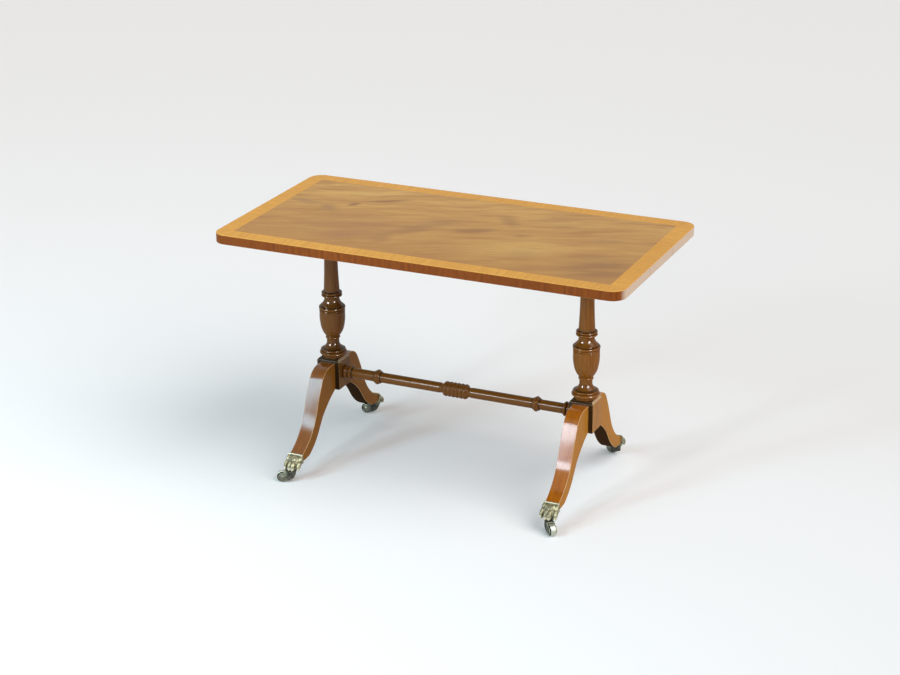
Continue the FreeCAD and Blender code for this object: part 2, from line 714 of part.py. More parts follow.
def paw_cap(name, side, front):
    reach = f"{-1 if front else 1} * {CASTOR_REACH}"
    body = new_body(name, x=f"{side} * {PEDESTAL_REACH}", y=reach, turn=180 if front else 0)
    mouth, mouth_half = "(-castor_inset)", "(leg_foot_width / 2 + cap_wall)"
    plan = [(f"-{mouth_half}", mouth), (mouth_half, mouth)]
    for share in PAW_PLAN_SHARES:
        plan.append((f"paw_width / 2 * {share[0]}", f"{mouth} + paw_length * {share[1]}", *share[2:]))
    blank = outline(body, "plan", "XY_Plane", plan, lift=CAP_BOTTOM)
    extrude(body, "Pad", blank, "paw_height")
    top, far = f"({CAP_BOTTOM} + paw_height + overrun)", f"({mouth} + paw_length + overrun)"
    rim = f"{mouth} + paw_length * {PAW_SIDE_SHARES[0][0]}"
    toe = f"{mouth} + paw_length * {PAW_SIDE_SHARES[-1][0]}"
    waste = [(rim, top)]
    for share in PAW_SIDE_SHARES:
        place = (f"{mouth} + paw_length * {share[0]}", f"{CAP_BOTTOM} + paw_height * {share[1]}")
        waste.append((*place, *share[2:]))
    waste += [(toe, f"{CAP_BOTTOM} - overrun"), (far, f"{CAP_BOTTOM} - overrun"), (far, top)]
    extrude(body, "Pocket", outline(body, "waste", "YZ_Plane", waste), "paw_width + overrun", both_ways=True)
    outside, below = f"({mouth} - overrun)", f"{CAP_BOTTOM} - overrun"
    heel_end = f"({mouth} + heel_length + heel_slope)"
    under_heel = [
        (outside, below), (heel_end, below), (heel_end, CAP_BOTTOM),
        (f"{mouth} + heel_length", HEEL_BOTTOM), (outside, HEEL_BOTTOM),
    ]
    undercut = outline(body, "under_heel", "YZ_Plane", under_heel)
    extrude(body, "Pocket", undercut, "paw_width + overrun", both_ways=True)
    shoulder, upper_tip, lower_tip = foot_tenon(mouth, "glue_gap")
    socket = [(outside, FOOT_SEAT), lower_tip, upper_tip, shoulder, (outside, shoulder[1])]
    hollow = outline(body, "socket", "YZ_Plane", socket)
    extrude(body, "Pocket", hollow, "leg_foot_width + 2 * glue_gap", both_ways=True)
    well = circles(
        body, "pin_well", "XY_Plane", [("0", "0")], "swivel_head_radius + side_gap", lift=FOOT_SEAT
    )
    extrude(body, "Pocket", well, "heel_height + heel_plate - cap_floor")
    bore = circles(
        body, "pin_bore", "XY_Plane", [("0", "0")], "swivel_pin_radius + running_gap",
        lift=f"{CAP_BOTTOM} - overrun",
    )
    extrude(body, "Pocket", bore, "cap_floor + 2 * overrun", backwards=True)
    countersink = screw_profile(
        "(cap_screw_radius + glue_gap)", "(cap_screw_head_radius + glue_gap)", "cap_screw_length"
    )
    bored = outline(
        body, "screw_hole", "YZ_Plane", countersink, along=f"{mouth} + cap_screw_inset", up=HEEL_BOTTOM
    )
    turn_round(body, "Groove", bored)


# The castor under a cap, drawn with its wheel trailing along X and turned to where it stands at rest.


def castor(corner, side, front, swing):
    pivot = (f"{side} * {PEDESTAL_REACH}", f"{-1 if front else 1} * {CASTOR_REACH}")
    swivel_pin(f"swivel_pin_{corner}", pivot, swing)
    swivel_washer(f"swivel_washer_{corner}", pivot, swing)
    fork(f"fork_{corner}", pivot, swing)
    hub = (f"{pivot[0]} + castor_trail * cos({swing})", f"{pivot[1]} + castor_trail * sin({swing})")
    axle(f"axle_{corner}", hub, swing)
    wheel(f"wheel_{corner}", hub, swing)


FORK_WIDTH = "(wheel_width + 2 * side_gap + 2 * fork_wall)"
PIN_TOP = f"({PLATE_TOP} + swivel_gap)"
FORK_NOSE_SHARE = 0.30


def swivel_pin(name, pivot, swing):
    """The upright pin: driven into the fork, with a riveted head inside the cap."""
    body = new_body(name, *pivot, turn=swing)
    foot = f"{FORK_TOP} - swivel_pin_depth"
    steps = [("0", foot), ("swivel_pin_radius", foot), ("swivel_pin_radius", PIN_TOP)]
    for out, rise in RIVET_SHARES:
        across = f"swivel_head_radius * {out}" if out else "0"
        steps.append((across, f"{PIN_TOP} + swivel_head_radius * {rise}"))
    turn_round(body, "Revolution", outline(body, "profile", "XZ_Plane", steps))


def swivel_washer(name, pivot, swing):
    body = new_body(name, *pivot, turn=swing)
    disc = circles(body, "disc", "XY_Plane", [("0", "0")], "washer_radius", lift=FORK_TOP)
    extrude(body, "Pad", disc, "washer_thickness")
    bore = circles(
        body, "bore", "XY_Plane", [("0", "0")], "swivel_pin_radius + running_gap", lift=FORK_TOP
    )
    extrude(body, "Pocket", bore, "washer_thickness", backwards=True)


def fork(name, pivot, swing):
    """The cast fork: a neck under the cap, and two cheeks that end in round eyes for the axle."""
    body = new_body(name, *pivot, turn=swing)
    eye_height = "wheel_diameter / 2"
    plate = "(fork_neck_radius + castor_trail) / 2"
    side_line = [
        ("-fork_neck_radius", f"{FORK_TOP} - fork_depth / 2"),
        ("-fork_neck_radius / 2", f"{FORK_TOP} - fork_depth", -FORK_NOSE_SHARE / 3),
        ("castor_trail", f"{eye_height} - fork_eye_radius", QUARTER_TURN_SHARE),
        ("castor_trail + fork_eye_radius", eye_height, QUARTER_TURN_SHARE),
        ("castor_trail", f"{eye_height} + fork_eye_radius"),
        (plate, FORK_TOP),
        ("-fork_neck_radius", FORK_TOP),
    ]
    blank = outline(body, "cheeks", "XZ_Plane", side_line)
    extrude(body, "Pad", blank, FORK_WIDTH, both_ways=True)
    room = circles(
        body, "wheel_room", "XZ_Plane", [("castor_trail", eye_height)], "wheel_diameter / 2 + wheel_gap"
    )
    extrude(body, "Pocket", room, "wheel_width + 2 * side_gap", both_ways=True)
    eyes = circles(body, "eyes", "XZ_Plane", [("castor_trail", eye_height)], "axle_radius")
    extrude(body, "Pocket", eyes, f"{FORK_WIDTH} + overrun", both_ways=True)
    socket = circles(body, "pin_socket", "XY_Plane", [("0", "0")], "swivel_pin_radius", lift=FORK_TOP)
    extrude(body, "Pocket", socket, "swivel_pin_depth")


def axle(name, hub, swing):
    """The axle: a pin through both cheeks, riveted over outside them."""
    body = new_body(name, *hub, z="wheel_diameter / 2", turn=swing)
    face = f"{FORK_WIDTH} / 2"
    head = [
        (f"axle_head_radius * {out}" if out else "0", f"({face} + axle_head_radius * {rise})")
        for out, rise in RIVET_SHARES
    ]
    steps = [(across, f"-{up}") for across, up in reversed(head)]
    steps += [("axle_radius", f"-{face}"), ("axle_radius", face)] + head
    turn_round(body, "Revolution", outline(body, "profile", "XY_Plane", steps))


def wheel(name, hub, swing):
    """The wheel: a crowned tread, dished sides and a hub that stands up to the cheeks."""
    body = new_body(name, *hub, z="wheel_diameter / 2", turn=swing)
    radius, half, bore = "wheel_diameter / 2", "wheel_width / 2", "axle_radius + running_gap"
    lip = f"({radius} - wheel_edge)"
    dish = f"({half} - wheel_dish)"
    steps = [
        (bore, f"-{half}"), ("hub_radius", f"-{half}"), ("hub_radius + wheel_dish", f"-{dish}"),
        (f"{lip} - wheel_dish", f"-{dish}"), (lip, f"-{half}", QUARTER_TURN_SHARE),
        (radius, f"-({half} - wheel_edge)"), (radius, f"{half} - wheel_edge", QUARTER_TURN_SHARE),
        (lip, half), (f"{lip} - wheel_dish", dish), ("hub_radius + wheel_dish", dish),
        ("hub_radius", half), (bore, half),
    ]
    turn_round(body, "Revolution", outline(body, "profile", "XY_Plane", steps))


# Which way each castor trails at rest, in degrees from X: they stand as they were last rolled.
CASTOR_SWINGS = {"front_left": 202, "back_left": 192, "front_right": 311, "back_right": 143}

for corner, swing in CASTOR_SWINGS.items():
    side = -1 if corner.endswith("left") else 1
    front = corner.startswith("front")
    leg(f"leg_{corner}", side, front)
    paw_cap(f"paw_cap_{corner}", side, front)
    castor(corner, side, front, swing)

cap_screws = new_body("cap_screws", z=HEEL_BOTTOM)
cap_screw = outline(
    cap_screws, "screw", "YZ_Plane",
    screw_profile("cap_screw_radius", "cap_screw_head_radius", "cap_screw_length"),
    along="leg_reach + cap_screw_inset", lift=PEDESTAL_REACH,
)
turn_round(cap_screws, "Revolution", cap_screw)
mirror(cap_screws, "XZ_Plane")
mirror(cap_screws, "YZ_Plane")

doc.recompute()
for item in doc.Objects:
    if "Invalid" in item.State or "Error" in item.State:
        raise ValueError(f"{item.Name} has failed: {item.State}")

os.makedirs("parts", exist_ok=True)
for body in doc.findObjects("PartDesign::Body"):
    if body.Shape.isNull() or not body.Shape.isValid():
        raise ValueError(f"{body.Label} has no sound shape")
    body.Shape.exportStep(f"parts/{body.Label}.step")
    print(body.Label, "solids", len(body.Shape.Solids), "volume", round(body.Shape.Volume))
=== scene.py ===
import math

import bmesh
import bpy
import numpy
from mathutils import Matrix, Vector


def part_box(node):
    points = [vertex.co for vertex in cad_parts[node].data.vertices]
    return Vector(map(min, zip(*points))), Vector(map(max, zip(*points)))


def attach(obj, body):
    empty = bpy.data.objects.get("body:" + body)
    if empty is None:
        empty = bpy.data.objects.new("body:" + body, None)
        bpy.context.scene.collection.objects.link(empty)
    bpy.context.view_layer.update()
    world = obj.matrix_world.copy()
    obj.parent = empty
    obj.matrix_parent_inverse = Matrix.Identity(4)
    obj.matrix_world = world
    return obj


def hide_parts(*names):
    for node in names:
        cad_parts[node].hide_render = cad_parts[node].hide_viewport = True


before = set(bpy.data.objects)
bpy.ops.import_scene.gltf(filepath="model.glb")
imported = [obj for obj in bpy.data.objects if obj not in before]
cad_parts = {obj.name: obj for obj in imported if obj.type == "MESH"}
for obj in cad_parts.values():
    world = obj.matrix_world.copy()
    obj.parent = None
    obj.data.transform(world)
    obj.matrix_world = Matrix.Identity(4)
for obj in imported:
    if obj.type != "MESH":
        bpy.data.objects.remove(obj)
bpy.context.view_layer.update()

# The view. A long lens from the right of the table's front, a little above it, as the photograph was
# taken. Its place and angles were solved from the corners of the top, the blocks and the feet.
CAMERA_PLACE = (1.58894, -3.50898, 1.78951)
CAMERA_TURN = 24.543
CAMERA_FALL = 21.325
CAMERA_ROLL = -0.3767
CAMERA_LENS = 83.23
CAMERA_SENSOR = 36.0


def show(name, data):
    """A new object with this data, shown in the scene."""
    shown = bpy.data.objects.new(name, data)
    bpy.context.scene.collection.objects.link(shown)
    return shown


camera_data = bpy.data.cameras.new("camera")
camera_data.lens = CAMERA_LENS
camera_data.sensor_width = CAMERA_SENSOR
camera = show("camera", camera_data)
camera.matrix_world = (
    Matrix.Translation(CAMERA_PLACE)
    @ Matrix.Rotation(math.radians(CAMERA_TURN), 4, "Z")
    @ Matrix.Rotation(math.radians(90 - CAMERA_FALL), 4, "X")
    @ Matrix.Rotation(math.radians(CAMERA_ROLL), 4, "Z")
)
bpy.context.scene.camera = camera
bpy.context.scene.view_settings.view_transform = "Standard"

# The floor and the room. A plain pale floor that runs on past the view and shows nothing from below,
# in an even white room. Both look a little brighter to the eye than the light that they throw.
FLOOR_REACH = 16.0
FLOOR_TONE = (0.865, 0.845, 0.825, 1)
FLOOR_ROUGHNESS = 0.7
QUARTERS = ((-1, -1), (1, -1), (1, 1), (-1, 1))
FLOOR_SPECULAR = 0.2
FLOOR_LIFT = 0.03
ROOM_TONE = (1.0, 1.0, 1.0, 1)
ROOM_LIGHT = 0.30


def add(tree, kind, inputs=None, **settings):
    """A new node in the tree. An input is a value or a socket, by its name or number."""
    made = tree.nodes.new(kind)
    for name, value in settings.items():
        setattr(made, name, value)
    for name, value in (inputs or {}).items():
        if isinstance(value, bpy.types.NodeSocket):
            tree.links.new(value, made.inputs[name])
        else:
            made.inputs[name].default_value = value
    return made


def calculated(tree, operation, *values, **settings):
    """The result of a sum on numbers or sockets."""
    return add(tree, "ShaderNodeMath", dict(enumerate(values)), operation=operation, **settings).outputs[0]


def new_material(name, plain):
    """A material and its shader, with the plain values set on the shader's own sockets."""
    material = bpy.data.materials.new(name)
    material.use_nodes = True
    shader = material.node_tree.nodes["Principled BSDF"]
    for socket, value in plain.items():
        shader.inputs[socket].default_value = value
    return material, material.node_tree, shader


def sees_background(tree):
    """1 on a camera, glossy or transmission ray, which see the room as a plain white."""
    path = add(tree, "ShaderNodeLightPath").outputs
    first = calculated(tree, "MAXIMUM", path["Is Camera Ray"], path["Is Glossy Ray"])
    return calculated(tree, "MAXIMUM", first, path["Is Transmission Ray"])


floor_mesh = bpy.data.meshes.new("floor")
floor_corners = [(x * FLOOR_REACH, y * FLOOR_REACH, 0) for x, y in QUARTERS]
floor_mesh.from_pydata(floor_corners, [], [(0, 1, 2, 3)])
floor = show("floor", floor_mesh)
floor_paint, floor_tree, floor_shader = new_material(
    "pale floor",
    {"Base Color": FLOOR_TONE, "Roughness": FLOOR_ROUGHNESS, "Specular IOR Level": FLOOR_SPECULAR},
)
floor_lift = calculated(floor_tree, "MULTIPLY", sees_background(floor_tree), FLOOR_LIFT)
floor_glow = add(floor_tree, "ShaderNodeEmission", {"Color": ROOM_TONE, "Strength": floor_lift})
floor_sum = add(floor_tree, "ShaderNodeAddShader", {0: floor_shader.outputs[0], 1: floor_glow.outputs[0]})
under = add(floor_tree, "ShaderNodeNewGeometry").outputs["Backfacing"]
seen_through = add(floor_tree, "ShaderNodeBsdfTransparent").outputs[0]
floor_both = add(floor_tree, "ShaderNodeMixShader", {0: under, 1: floor_sum.outputs[0], 2: seen_through})
floor_tree.links.new(floor_both.outputs[0], floor_tree.nodes["Material Output"].inputs["Surface"])
floor_mesh.materials.append(floor_paint)

room = bpy.data.worlds.new("room")
bpy.context.scene.world = room
room.use_nodes = True
room_tree = room.node_tree
room_light = room_tree.nodes["Background"]
room_light.inputs["Color"].default_value = ROOM_TONE
room_light.inputs["Strength"].default_value = ROOM_LIGHT
room_seen = add(room_tree, "ShaderNodeBackground", {"Color": ROOM_TONE, "Strength": 1.0})
room_both = {0: sees_background(room_tree), 1: room_light.outputs[0], 2: room_seen.outputs[0]}
room_mix = add(room_tree, "ShaderNodeMixShader", room_both)
room_tree.links.new(room_mix.outputs[0], room_tree.nodes["World Output"].inputs["Surface"])

# The lamps. A broad soft one from the right and two windows at the front left light the table. What shows
# as a bright band or spot in the polish of the legs, the turned pieces and the brass is a second set of
# lamps, which lights nothing. Each of them stands just nearer than the lamp that it copies.
KEY_LIGHT = 2.5
KEY_SPREAD = 58
KEY_TURN = 74
KEY_HEIGHT = 45
FAR_TONE = (0.50, 0.82, 1.0)
NEAR_TONE = (0.75, 0.88, 1.0)
LOW_TONE = (0.75, 0.85, 1.0)
MIDDLE_TONE = (0.85, 0.92, 1.0)
SPARK_TONE = (1.0, 0.98, 0.96)
# name: (middle, width, height, power, tone), each turned to the middle of the table
WINDOWS = {
    "window_far": ((-1.75, -2.5, 1.60), 0.36, 2.40, 56, FAR_TONE),
    "window_near": ((-0.74, -2.5, 1.62), 0.30, 0.60, 18, NEAR_TONE),
}
# the same, and the kinds of piece in whose polish it shows
SHINES = {
    "shine_far": ((-1.72, -2.45, 1.58), 0.36, 2.40, 56, FAR_TONE, "sabre", "plinth", "brass"),
    "shine_near": ((-0.73, -2.44, 1.60), 0.30, 0.60, 18, NEAR_TONE, "sabre", "plinth", "brass", "rail"),
    "shine_low": ((-0.74, -2.5, 0.90), 0.30, 0.80, 11, LOW_TONE, "sabre"),
    "shine_middle": ((-1.18, -2.5, 1.55), 0.50, 0.90, 34, MIDDLE_TONE, "rail"),
    "spark_left": ((-1.75, -2.5, 1.45), 1.10, 1.00, 210, SPARK_TONE, "pillar"),
    "spark_right": ((2.6, -1.45, 1.22), 1.10, 1.00, 210, SPARK_TONE, "pillar"),
}
POLISHED = ("pillar", "rail", "plinth", "sabre", "brass")
WINDOW_AIM = (0.0, 0.0, 0.30)
shone_on = {kind: [] for kind in POLISHED}


def split_lamp(lamp, kinds):
    """A lamp that lights but doesn't show, or that only shows in the polish of these kinds of piece."""
    lamp.visible_camera = False
    lamp.visible_glossy = bool(kinds)
    lamp.visible_diffuse = not kinds
    if kinds:
        lamp.light_linking.receiver_collection = bpy.data.collections.new(lamp.name)
    for kind in kinds:
        shone_on[kind].append(lamp.light_linking.receiver_collection)


def shine_on(piece, kind):
    """Lets the lamps for this kind of piece show in its polish."""
    for lit in shone_on[kind]:
        lit.objects.link(piece)


for name, kinds in (("key", ()), ("key_shine", POLISHED)):
    key_data = bpy.data.lights.new(name, "SUN")
    key_data.energy = KEY_LIGHT
    key_data.angle = math.radians(KEY_SPREAD)
    key = show(name, key_data)
    key.rotation_euler = (math.radians(90 - KEY_HEIGHT), 0, math.radians(KEY_TURN))
    split_lamp(key, kinds)

for name, (middle, width, height, power, tone, *kinds) in {**WINDOWS, **SHINES}.items():
    window_data = bpy.data.lights.new(name, "AREA")
    window_data.shape = "RECTANGLE"
    window_data.size = width
    window_data.size_y = height
    window_data.energy = power
    window_data.color = tone
    window = show(name, window_data)
    window.location = middle
    window.rotation_euler = (Vector(WINDOW_AIM) - Vector(middle)).to_track_quat("-Z", "Y").to_euler()
    split_lamp(window, kinds)

# The field. The middle panel of the top: one leaf of figured mahogany, glued to the board, lacquered and
# polished. Smoky clouds and streaks cross it at a slant over fine fibres.
FIELD_PAINTED_SHEEN = (0.63, 0.345, 0.085, 1)
FIELD_MID = (0.48, 0.238, 0.054, 1)
FIELD_DARK = (0.25, 0.108, 0.040, 1)
FIELD_SMOKE = (0.35, 0.185, 0.062, 1)
FIELD_PALE = (0.70, 0.42, 0.115, 1)
FIELD_RED = (0.37, 0.160, 0.038, 1)
FIELD_PLUM = (0.36, 0.160, 0.058, 1)
LACQUER = {"Coat Weight": 0.33, "Coat Roughness": 0.09, "Coat IOR": 1.5, "Specular IOR Level": 0.0}
FIELD_ROUGHNESS = 0.42
FIELD_DEPTH = 0.18
JOINT = 0.00012
GRAIN = "grain"
SMOOTHEST_EDGE = 32
LEVEL_SLACK = 1e-6
FIBRE_RELIEF = 0.00003
WANDER_SCALE = 5.0
WANDER_REACH = 0.045
FIGURE_SLANT = -20
CLOUD_SCALE = 34.0
CLOUD_SQUEEZE_SHARE = 0.16
LINE_SCALE = 330.0
LINE_SQUEEZE_SHARE = 0.05
# Streaks and clouds of the figure, in millimetres from the middle of the top: across, back, half length,
# half width, turn in degrees, strength, tone.
FIGURE = (
    (-200, -70, 150, 90, 15, 0.45, FIELD_PLUM), (170, -60, 150, 60, 22, 0.45, FIELD_PALE),
    (335, -110, 85, 92, 0, 0.55, FIELD_DARK), (181, 115, 85, 42, 10, 0.35, FIELD_SMOKE),
    (-45, 15, 72, 45, 50, 0.45, FIELD_PLUM), (-45, 15, 50, 22, 50, 0.25, FIELD_DARK),
    (-75, -40, 50, 36, 50, 0.42, FIELD_DARK), (-108, -105, 45, 30, 90, 0.42, FIELD_DARK),
    (-181, -112, 60, 35, 20, 0.55, FIELD_PLUM), (37, 2, 45, 28, 30, 0.50, FIELD_DARK),
    (-250, 139, 150, 15, 15, 0.65, FIELD_PALE), (-330, 155, 68, 8, 15, 0.50, FIELD_RED),
    (-192, 107, 58, 10, 24, 0.90, FIELD_DARK), (-120, 140, 50, 8, 22, 0.50, FIELD_RED),
    (-249, 62, 20, 14, 60, 0.90, FIELD_DARK), (-350, 40, 52, 20, -5, 0.90, FIELD_SMOKE),
    (-291, 25, 28, 20, -40, 0.90, FIELD_SMOKE), (-340, -55, 62, 12, 30, 0.35, FIELD_RED),
    (77, 84, 50, 26, -50, 0.50, FIELD_DARK), (136, 4, 26, 16, 20, 0.50, FIELD_DARK),
    (303, 38, 42, 20, 8, 0.50, FIELD_SMOKE), (180, -95, 48, 25, 25, 0.40, FIELD_SMOKE),
    (20, 168, 80, 8, 14, 0.35, FIELD_RED), (250, -5, 40, 10, 30, 0.35, FIELD_RED),
)


def prism(outline, place, depth):
    """A straight-sided solid on the outline, whose points place() puts in space at 0 and at the depth."""
    solid = bmesh.new()
    rings = [[solid.verts.new(place(point, level)) for point in outline] for level in (0, depth)]
    solid.faces.new(rings[0][::-1])
    solid.faces.new(rings[1])
    for i in range(len(outline)):
        j = (i + 1) % len(outline)
        solid.faces.new((rings[0][i], rings[0][j], rings[1][j], rings[1][i]))
    bmesh.ops.recalc_face_normals(solid, faces=solid.faces)
    return solid


def flat(level):
    """Puts a point of a plan at a height above this level."""
    return lambda point, rise: Vector((point.x, point.y, level + rise))


def at_level(edge, level):
    """Whether the edge lies at this level."""
    return all(abs(vertex.co.z - level) < LEVEL_SLACK for vertex in edge.verts)


def ease(solid, width, wanted, steps=3):
    """Rounds the edges for which wanted(edge) holds, and marks the new faces as arris."""
    mark = solid.faces.layers.float.get("arris") or solid.faces.layers.float.new("arris")
    edges = [edge for edge in solid.edges if wanted(edge)]
    made = bmesh.ops.bevel(
        solid, geom=edges, offset=width, segments=steps, profile=0.5, affect="EDGES", clamp_overlap=False
    )
    for face in made["faces"]:
        face[mark] = 1.0


def lay_grain(mesh, along, across, shift):
    """Writes, at each point, how far it lies along and across the grain, shifted from piece to piece."""
    along, across = Vector(along).normalized(), Vector(across).normalized()
    through = along.cross(across)
    laid = mesh.attributes.new(GRAIN, "FLOAT_VECTOR", "POINT")
    for point, vertex in zip(laid.data, mesh.vertices):
        place = vertex.co
        point.vector = (place.dot(along) + shift, place.dot(across) + shift, place.dot(through) - shift)


def finished(name, solid, material, along, across, shift=0.0):
    """An object of the solid: smooth between creases, with its own grain coordinates in metres."""
    mesh = bpy.data.meshes.new(name)
    solid.to_mesh(mesh)
    solid.free()
    mesh.materials.append(material)
    mesh.shade_smooth()
    mesh.set_sharp_from_angle(angle=math.radians(SMOOTHEST_EDGE))
    lay_grain(mesh, along, across, shift)
    piece = show(name, mesh)
    weighted = piece.modifiers.new("even normals", "WEIGHTED_NORMAL")
    weighted.keep_sharp = True
    return piece


def mix(tree, share, first, second):
    """A mix of two colours by a share."""
    return add(tree, "ShaderNodeMix", {0: share, 6: first, 7: second}, data_type="RGBA").outputs[2]


def steps_between(tree, value, low, high, new_low=0.0, new_high=1.0):
    """The value spread from low..high to new_low..new_high, held at both ends."""
    limits = {"Value": value, "From Min": low, "From Max": high, "To Min": new_low, "To Max": new_high}
    return add(tree, "ShaderNodeMapRange", limits).outputs[0]


def relief(tree, height, depth, shader):
    """Bumps the shader's surface by the height."""
    bump = add(tree, "ShaderNodeBump", {"Height": height, "Distance": depth, "Strength": 0.5})
    tree.links.new(bump.outputs[0], shader.inputs["Normal"])


def moved_by_noise(tree, place, scale, reach, **settings):
    """The place, moved to and fro by a slow noise."""
    drift = add(tree, "ShaderNodeTexNoise", {"Vector": place, "Scale": scale, **settings}).outputs["Color"]
    middle = (0.5, 0.5, 0.5)
    centred = add(tree, "ShaderNodeVectorMath", {0: drift, 1: middle}, operation="SUBTRACT").outputs[0]
    moved = add(tree, "ShaderNodeVectorMath", {0: centred, "Scale": reach}, operation="SCALE").outputs[0]
    return add(tree, "ShaderNodeVectorMath", {0: place, 1: moved}, operation="ADD").outputs[0]


def stretched(tree, place, factors):
    """The place, multiplied by these factors, so that a pattern on it is drawn out."""
    return add(tree, "ShaderNodeVectorMath", {0: place, 1: factors}, operation="MULTIPLY").outputs[0]


def stroke_group():
    """How much of one streak or cloud of the figure lies at a place."""
    group = bpy.data.node_groups.new("figure stroke", "ShaderNodeTree")
    for name, kind in (
        ("Place", "NodeSocketVector"), ("Middle", "NodeSocketVector"), ("Turn", "NodeSocketVector"),
        ("Reach", "NodeSocketVector"), ("Strength", "NodeSocketFloat"), ("Break", "NodeSocketFloat"),
    ):
        group.interface.new_socket(name, in_out="INPUT", socket_type=kind)
    group.interface.new_socket("Share", in_out="OUTPUT", socket_type="NodeSocketFloat")
    given = add(group, "NodeGroupInput").outputs
    local = {"Vector": given["Place"], "Location": given["Middle"], "Rotation": given["Turn"]}
    local["Scale"] = given["Reach"]
    inside = add(group, "ShaderNodeMapping", local, vector_type="TEXTURE").outputs[0]
    far = add(group, "ShaderNodeVectorMath", {0: inside}, operation="LENGTH").outputs["Value"]
    near = {"Value": far, "From Min": 1.15, "From Max": 0.15, "To Min": 0.0, "To Max": 1.0}
    soft = add(group, "ShaderNodeMapRange", near, interpolation_type="SMOOTHSTEP").outputs[0]
    broken = calculated(group, "MULTIPLY", soft, given["Break"])
    share = calculated(group, "MULTIPLY", broken, given["Strength"], use_clamp=True)
    result = add(group, "NodeGroupOutput")
    group.links.new(share, result.inputs[0])
    return group


def field_figure():
    """Figured mahogany: streaks and smoky clouds that cross the field at a slant, over fine fibres."""
    material, tree, shader = new_material("figured mahogany", LACQUER)
    place = add(tree, "ShaderNodeTexCoord").outputs["Object"]
    level = stretched(tree, place, (1, 1, 0))
    swept = stretched(
        tree, moved_by_noise(tree, level, WANDER_SCALE, WANDER_REACH, Detail=1.6, Roughness=0.5), (1, 1, 0)
    )
    slant = {"Vector": swept, "Rotation": (0, 0, math.radians(FIGURE_SLANT))}
    slanted = add(tree, "ShaderNodeMapping", slant).outputs[0]
    drawn = stretched(tree, slanted, (CLOUD_SQUEEZE_SHARE, 1, 1))
    clouds = {"Vector": drawn, "Scale": CLOUD_SCALE, "Detail": 6.0, "Roughness": 0.6}
    smoke = add(tree, "ShaderNodeTexNoise", clouds).outputs[0]
    lines = stretched(tree, slanted, (LINE_SQUEEZE_SHARE, 1, 1))
    fibres = {"Vector": lines, "Scale": LINE_SCALE, "Detail": 4.0, "Roughness": 0.65}
    fine = add(tree, "ShaderNodeTexNoise", fibres).outputs[0]
    backwards = add(tree, "ShaderNodeSeparateXYZ", {0: level}).outputs[1]
    # the field is painted paler towards the back, a painted reflection
    base = mix(tree, steps_between(tree, backwards, -FIELD_DEPTH, FIELD_DEPTH), FIELD_MID, FIELD_PAINTED_SHEEN)
    colour = mix(tree, steps_between(tree, smoke, 0.38, 0.66, 0.0, 0.80), base, FIELD_RED)
    broken = steps_between(tree, smoke, 0.28, 0.60, 0.45, 1.25)
    strokes = stroke_group()
    for across, behind, length, width, turn, strength, tone in FIGURE:
        stroke = add(tree, "ShaderNodeGroup", node_tree=strokes)
        tree.links.new(swept, stroke.inputs["Place"])
        tree.links.new(broken, stroke.inputs["Break"])
        stroke.inputs["Middle"].default_value = (across / 1000, behind / 1000, 0)
        stroke.inputs["Turn"].default_value = (0, 0, math.radians(turn))
        stroke.inputs["Reach"].default_value = (length / 1000, width / 1000, 1)
        stroke.inputs["Strength"].default_value = strength
        colour = mix(tree, stroke.outputs[0], colour, tone)
    colour = mix(tree, steps_between(tree, fine, 0.42, 0.72, 0, 0.65), colour, FIELD_RED)
    tree.links.new(colour, shader.inputs["Base Color"])
    shader.inputs["Roughness"].default_value = FIELD_ROUGHNESS
    relief(tree, fine, FIBRE_RELIEF, shader)
    return material


field_low, field_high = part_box("field_veneer")
FIELD_REACH = Vector((field_high.x, field_high.y))
field_outline = [Vector((x * FIELD_REACH.x, y * FIELD_REACH.y)) for x, y in QUARTERS]
field_solid = prism(field_outline, flat(field_low.z), field_high.z - field_low.z)
ease(field_solid, JOINT, lambda edge: at_level(edge, field_high.z), 1)
field = finished("field", field_solid, field_figure(), (1, 0, 0), (0, 1, 0))
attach(field, "table")
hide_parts("field_veneer")

# The crossbanding. Four strips of a paler wood laid with their grain across the edge, cut in short leaves
# and mitred at the corners. The arris is eased so that the lacquer doesn't rub through, and is painted
# pale, partly as wear and partly as a painted highlight.
BAND_LIGHT = (0.80, 0.385, 0.055, 1)
BAND_DARK = (0.60, 0.260, 0.028, 1)
ARRIS = 0.0007
# the tone painted on eased arrises: partly wear, partly a painted highlight
ARRIS_WEAR_AND_HIGHLIGHT = (0.80, 0.52, 0.24, 1)
CORNER_STEPS = 14
BAND_LEAF = 0.115
BAND_GRAIN_SHIFT = 0.37
FIBRE_SCALE = 900.0
PORE_SCALE = 1600.0
FIBRE_SHARE = 0.35
LEAF_SHARE = 0.35
PORE_SHARE = 0.5
PORE_TONE_SHARE = 0.35
edge_low, edge_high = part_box("edge_band_front")
TOP_REACH = Vector((edge_high.x, -edge_low.y))
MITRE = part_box("crossband_front")[1].x
# the corner's radius follows from where the front band's mitre meets the outline
CORNER = (TOP_REACH.x - MITRE) / (1 - math.sqrt(0.5))


def arc(centre, radius, first, last, steps):
    """Points of an arc from the first angle to the last, in degrees."""
    angles = [math.radians(first + (last - first) * i / steps) for i in range(steps + 1)]
    return [centre + Vector((math.cos(angle), math.sin(angle))) * radius for angle in angles]


def toward(angle, reach):
    """The corner of a rectangle with this reach that lies in this direction."""
    signs = math.cos(math.radians(angle)), math.sin(math.radians(angle))
    return Vector([math.copysign(size, sign) for size, sign in zip(reach, signs)])


def corner_centre(angle):
    """The middle of the top's rounded corner that lies in this direction."""
    return toward(angle, TOP_REACH - Vector((CORNER, CORNER)))


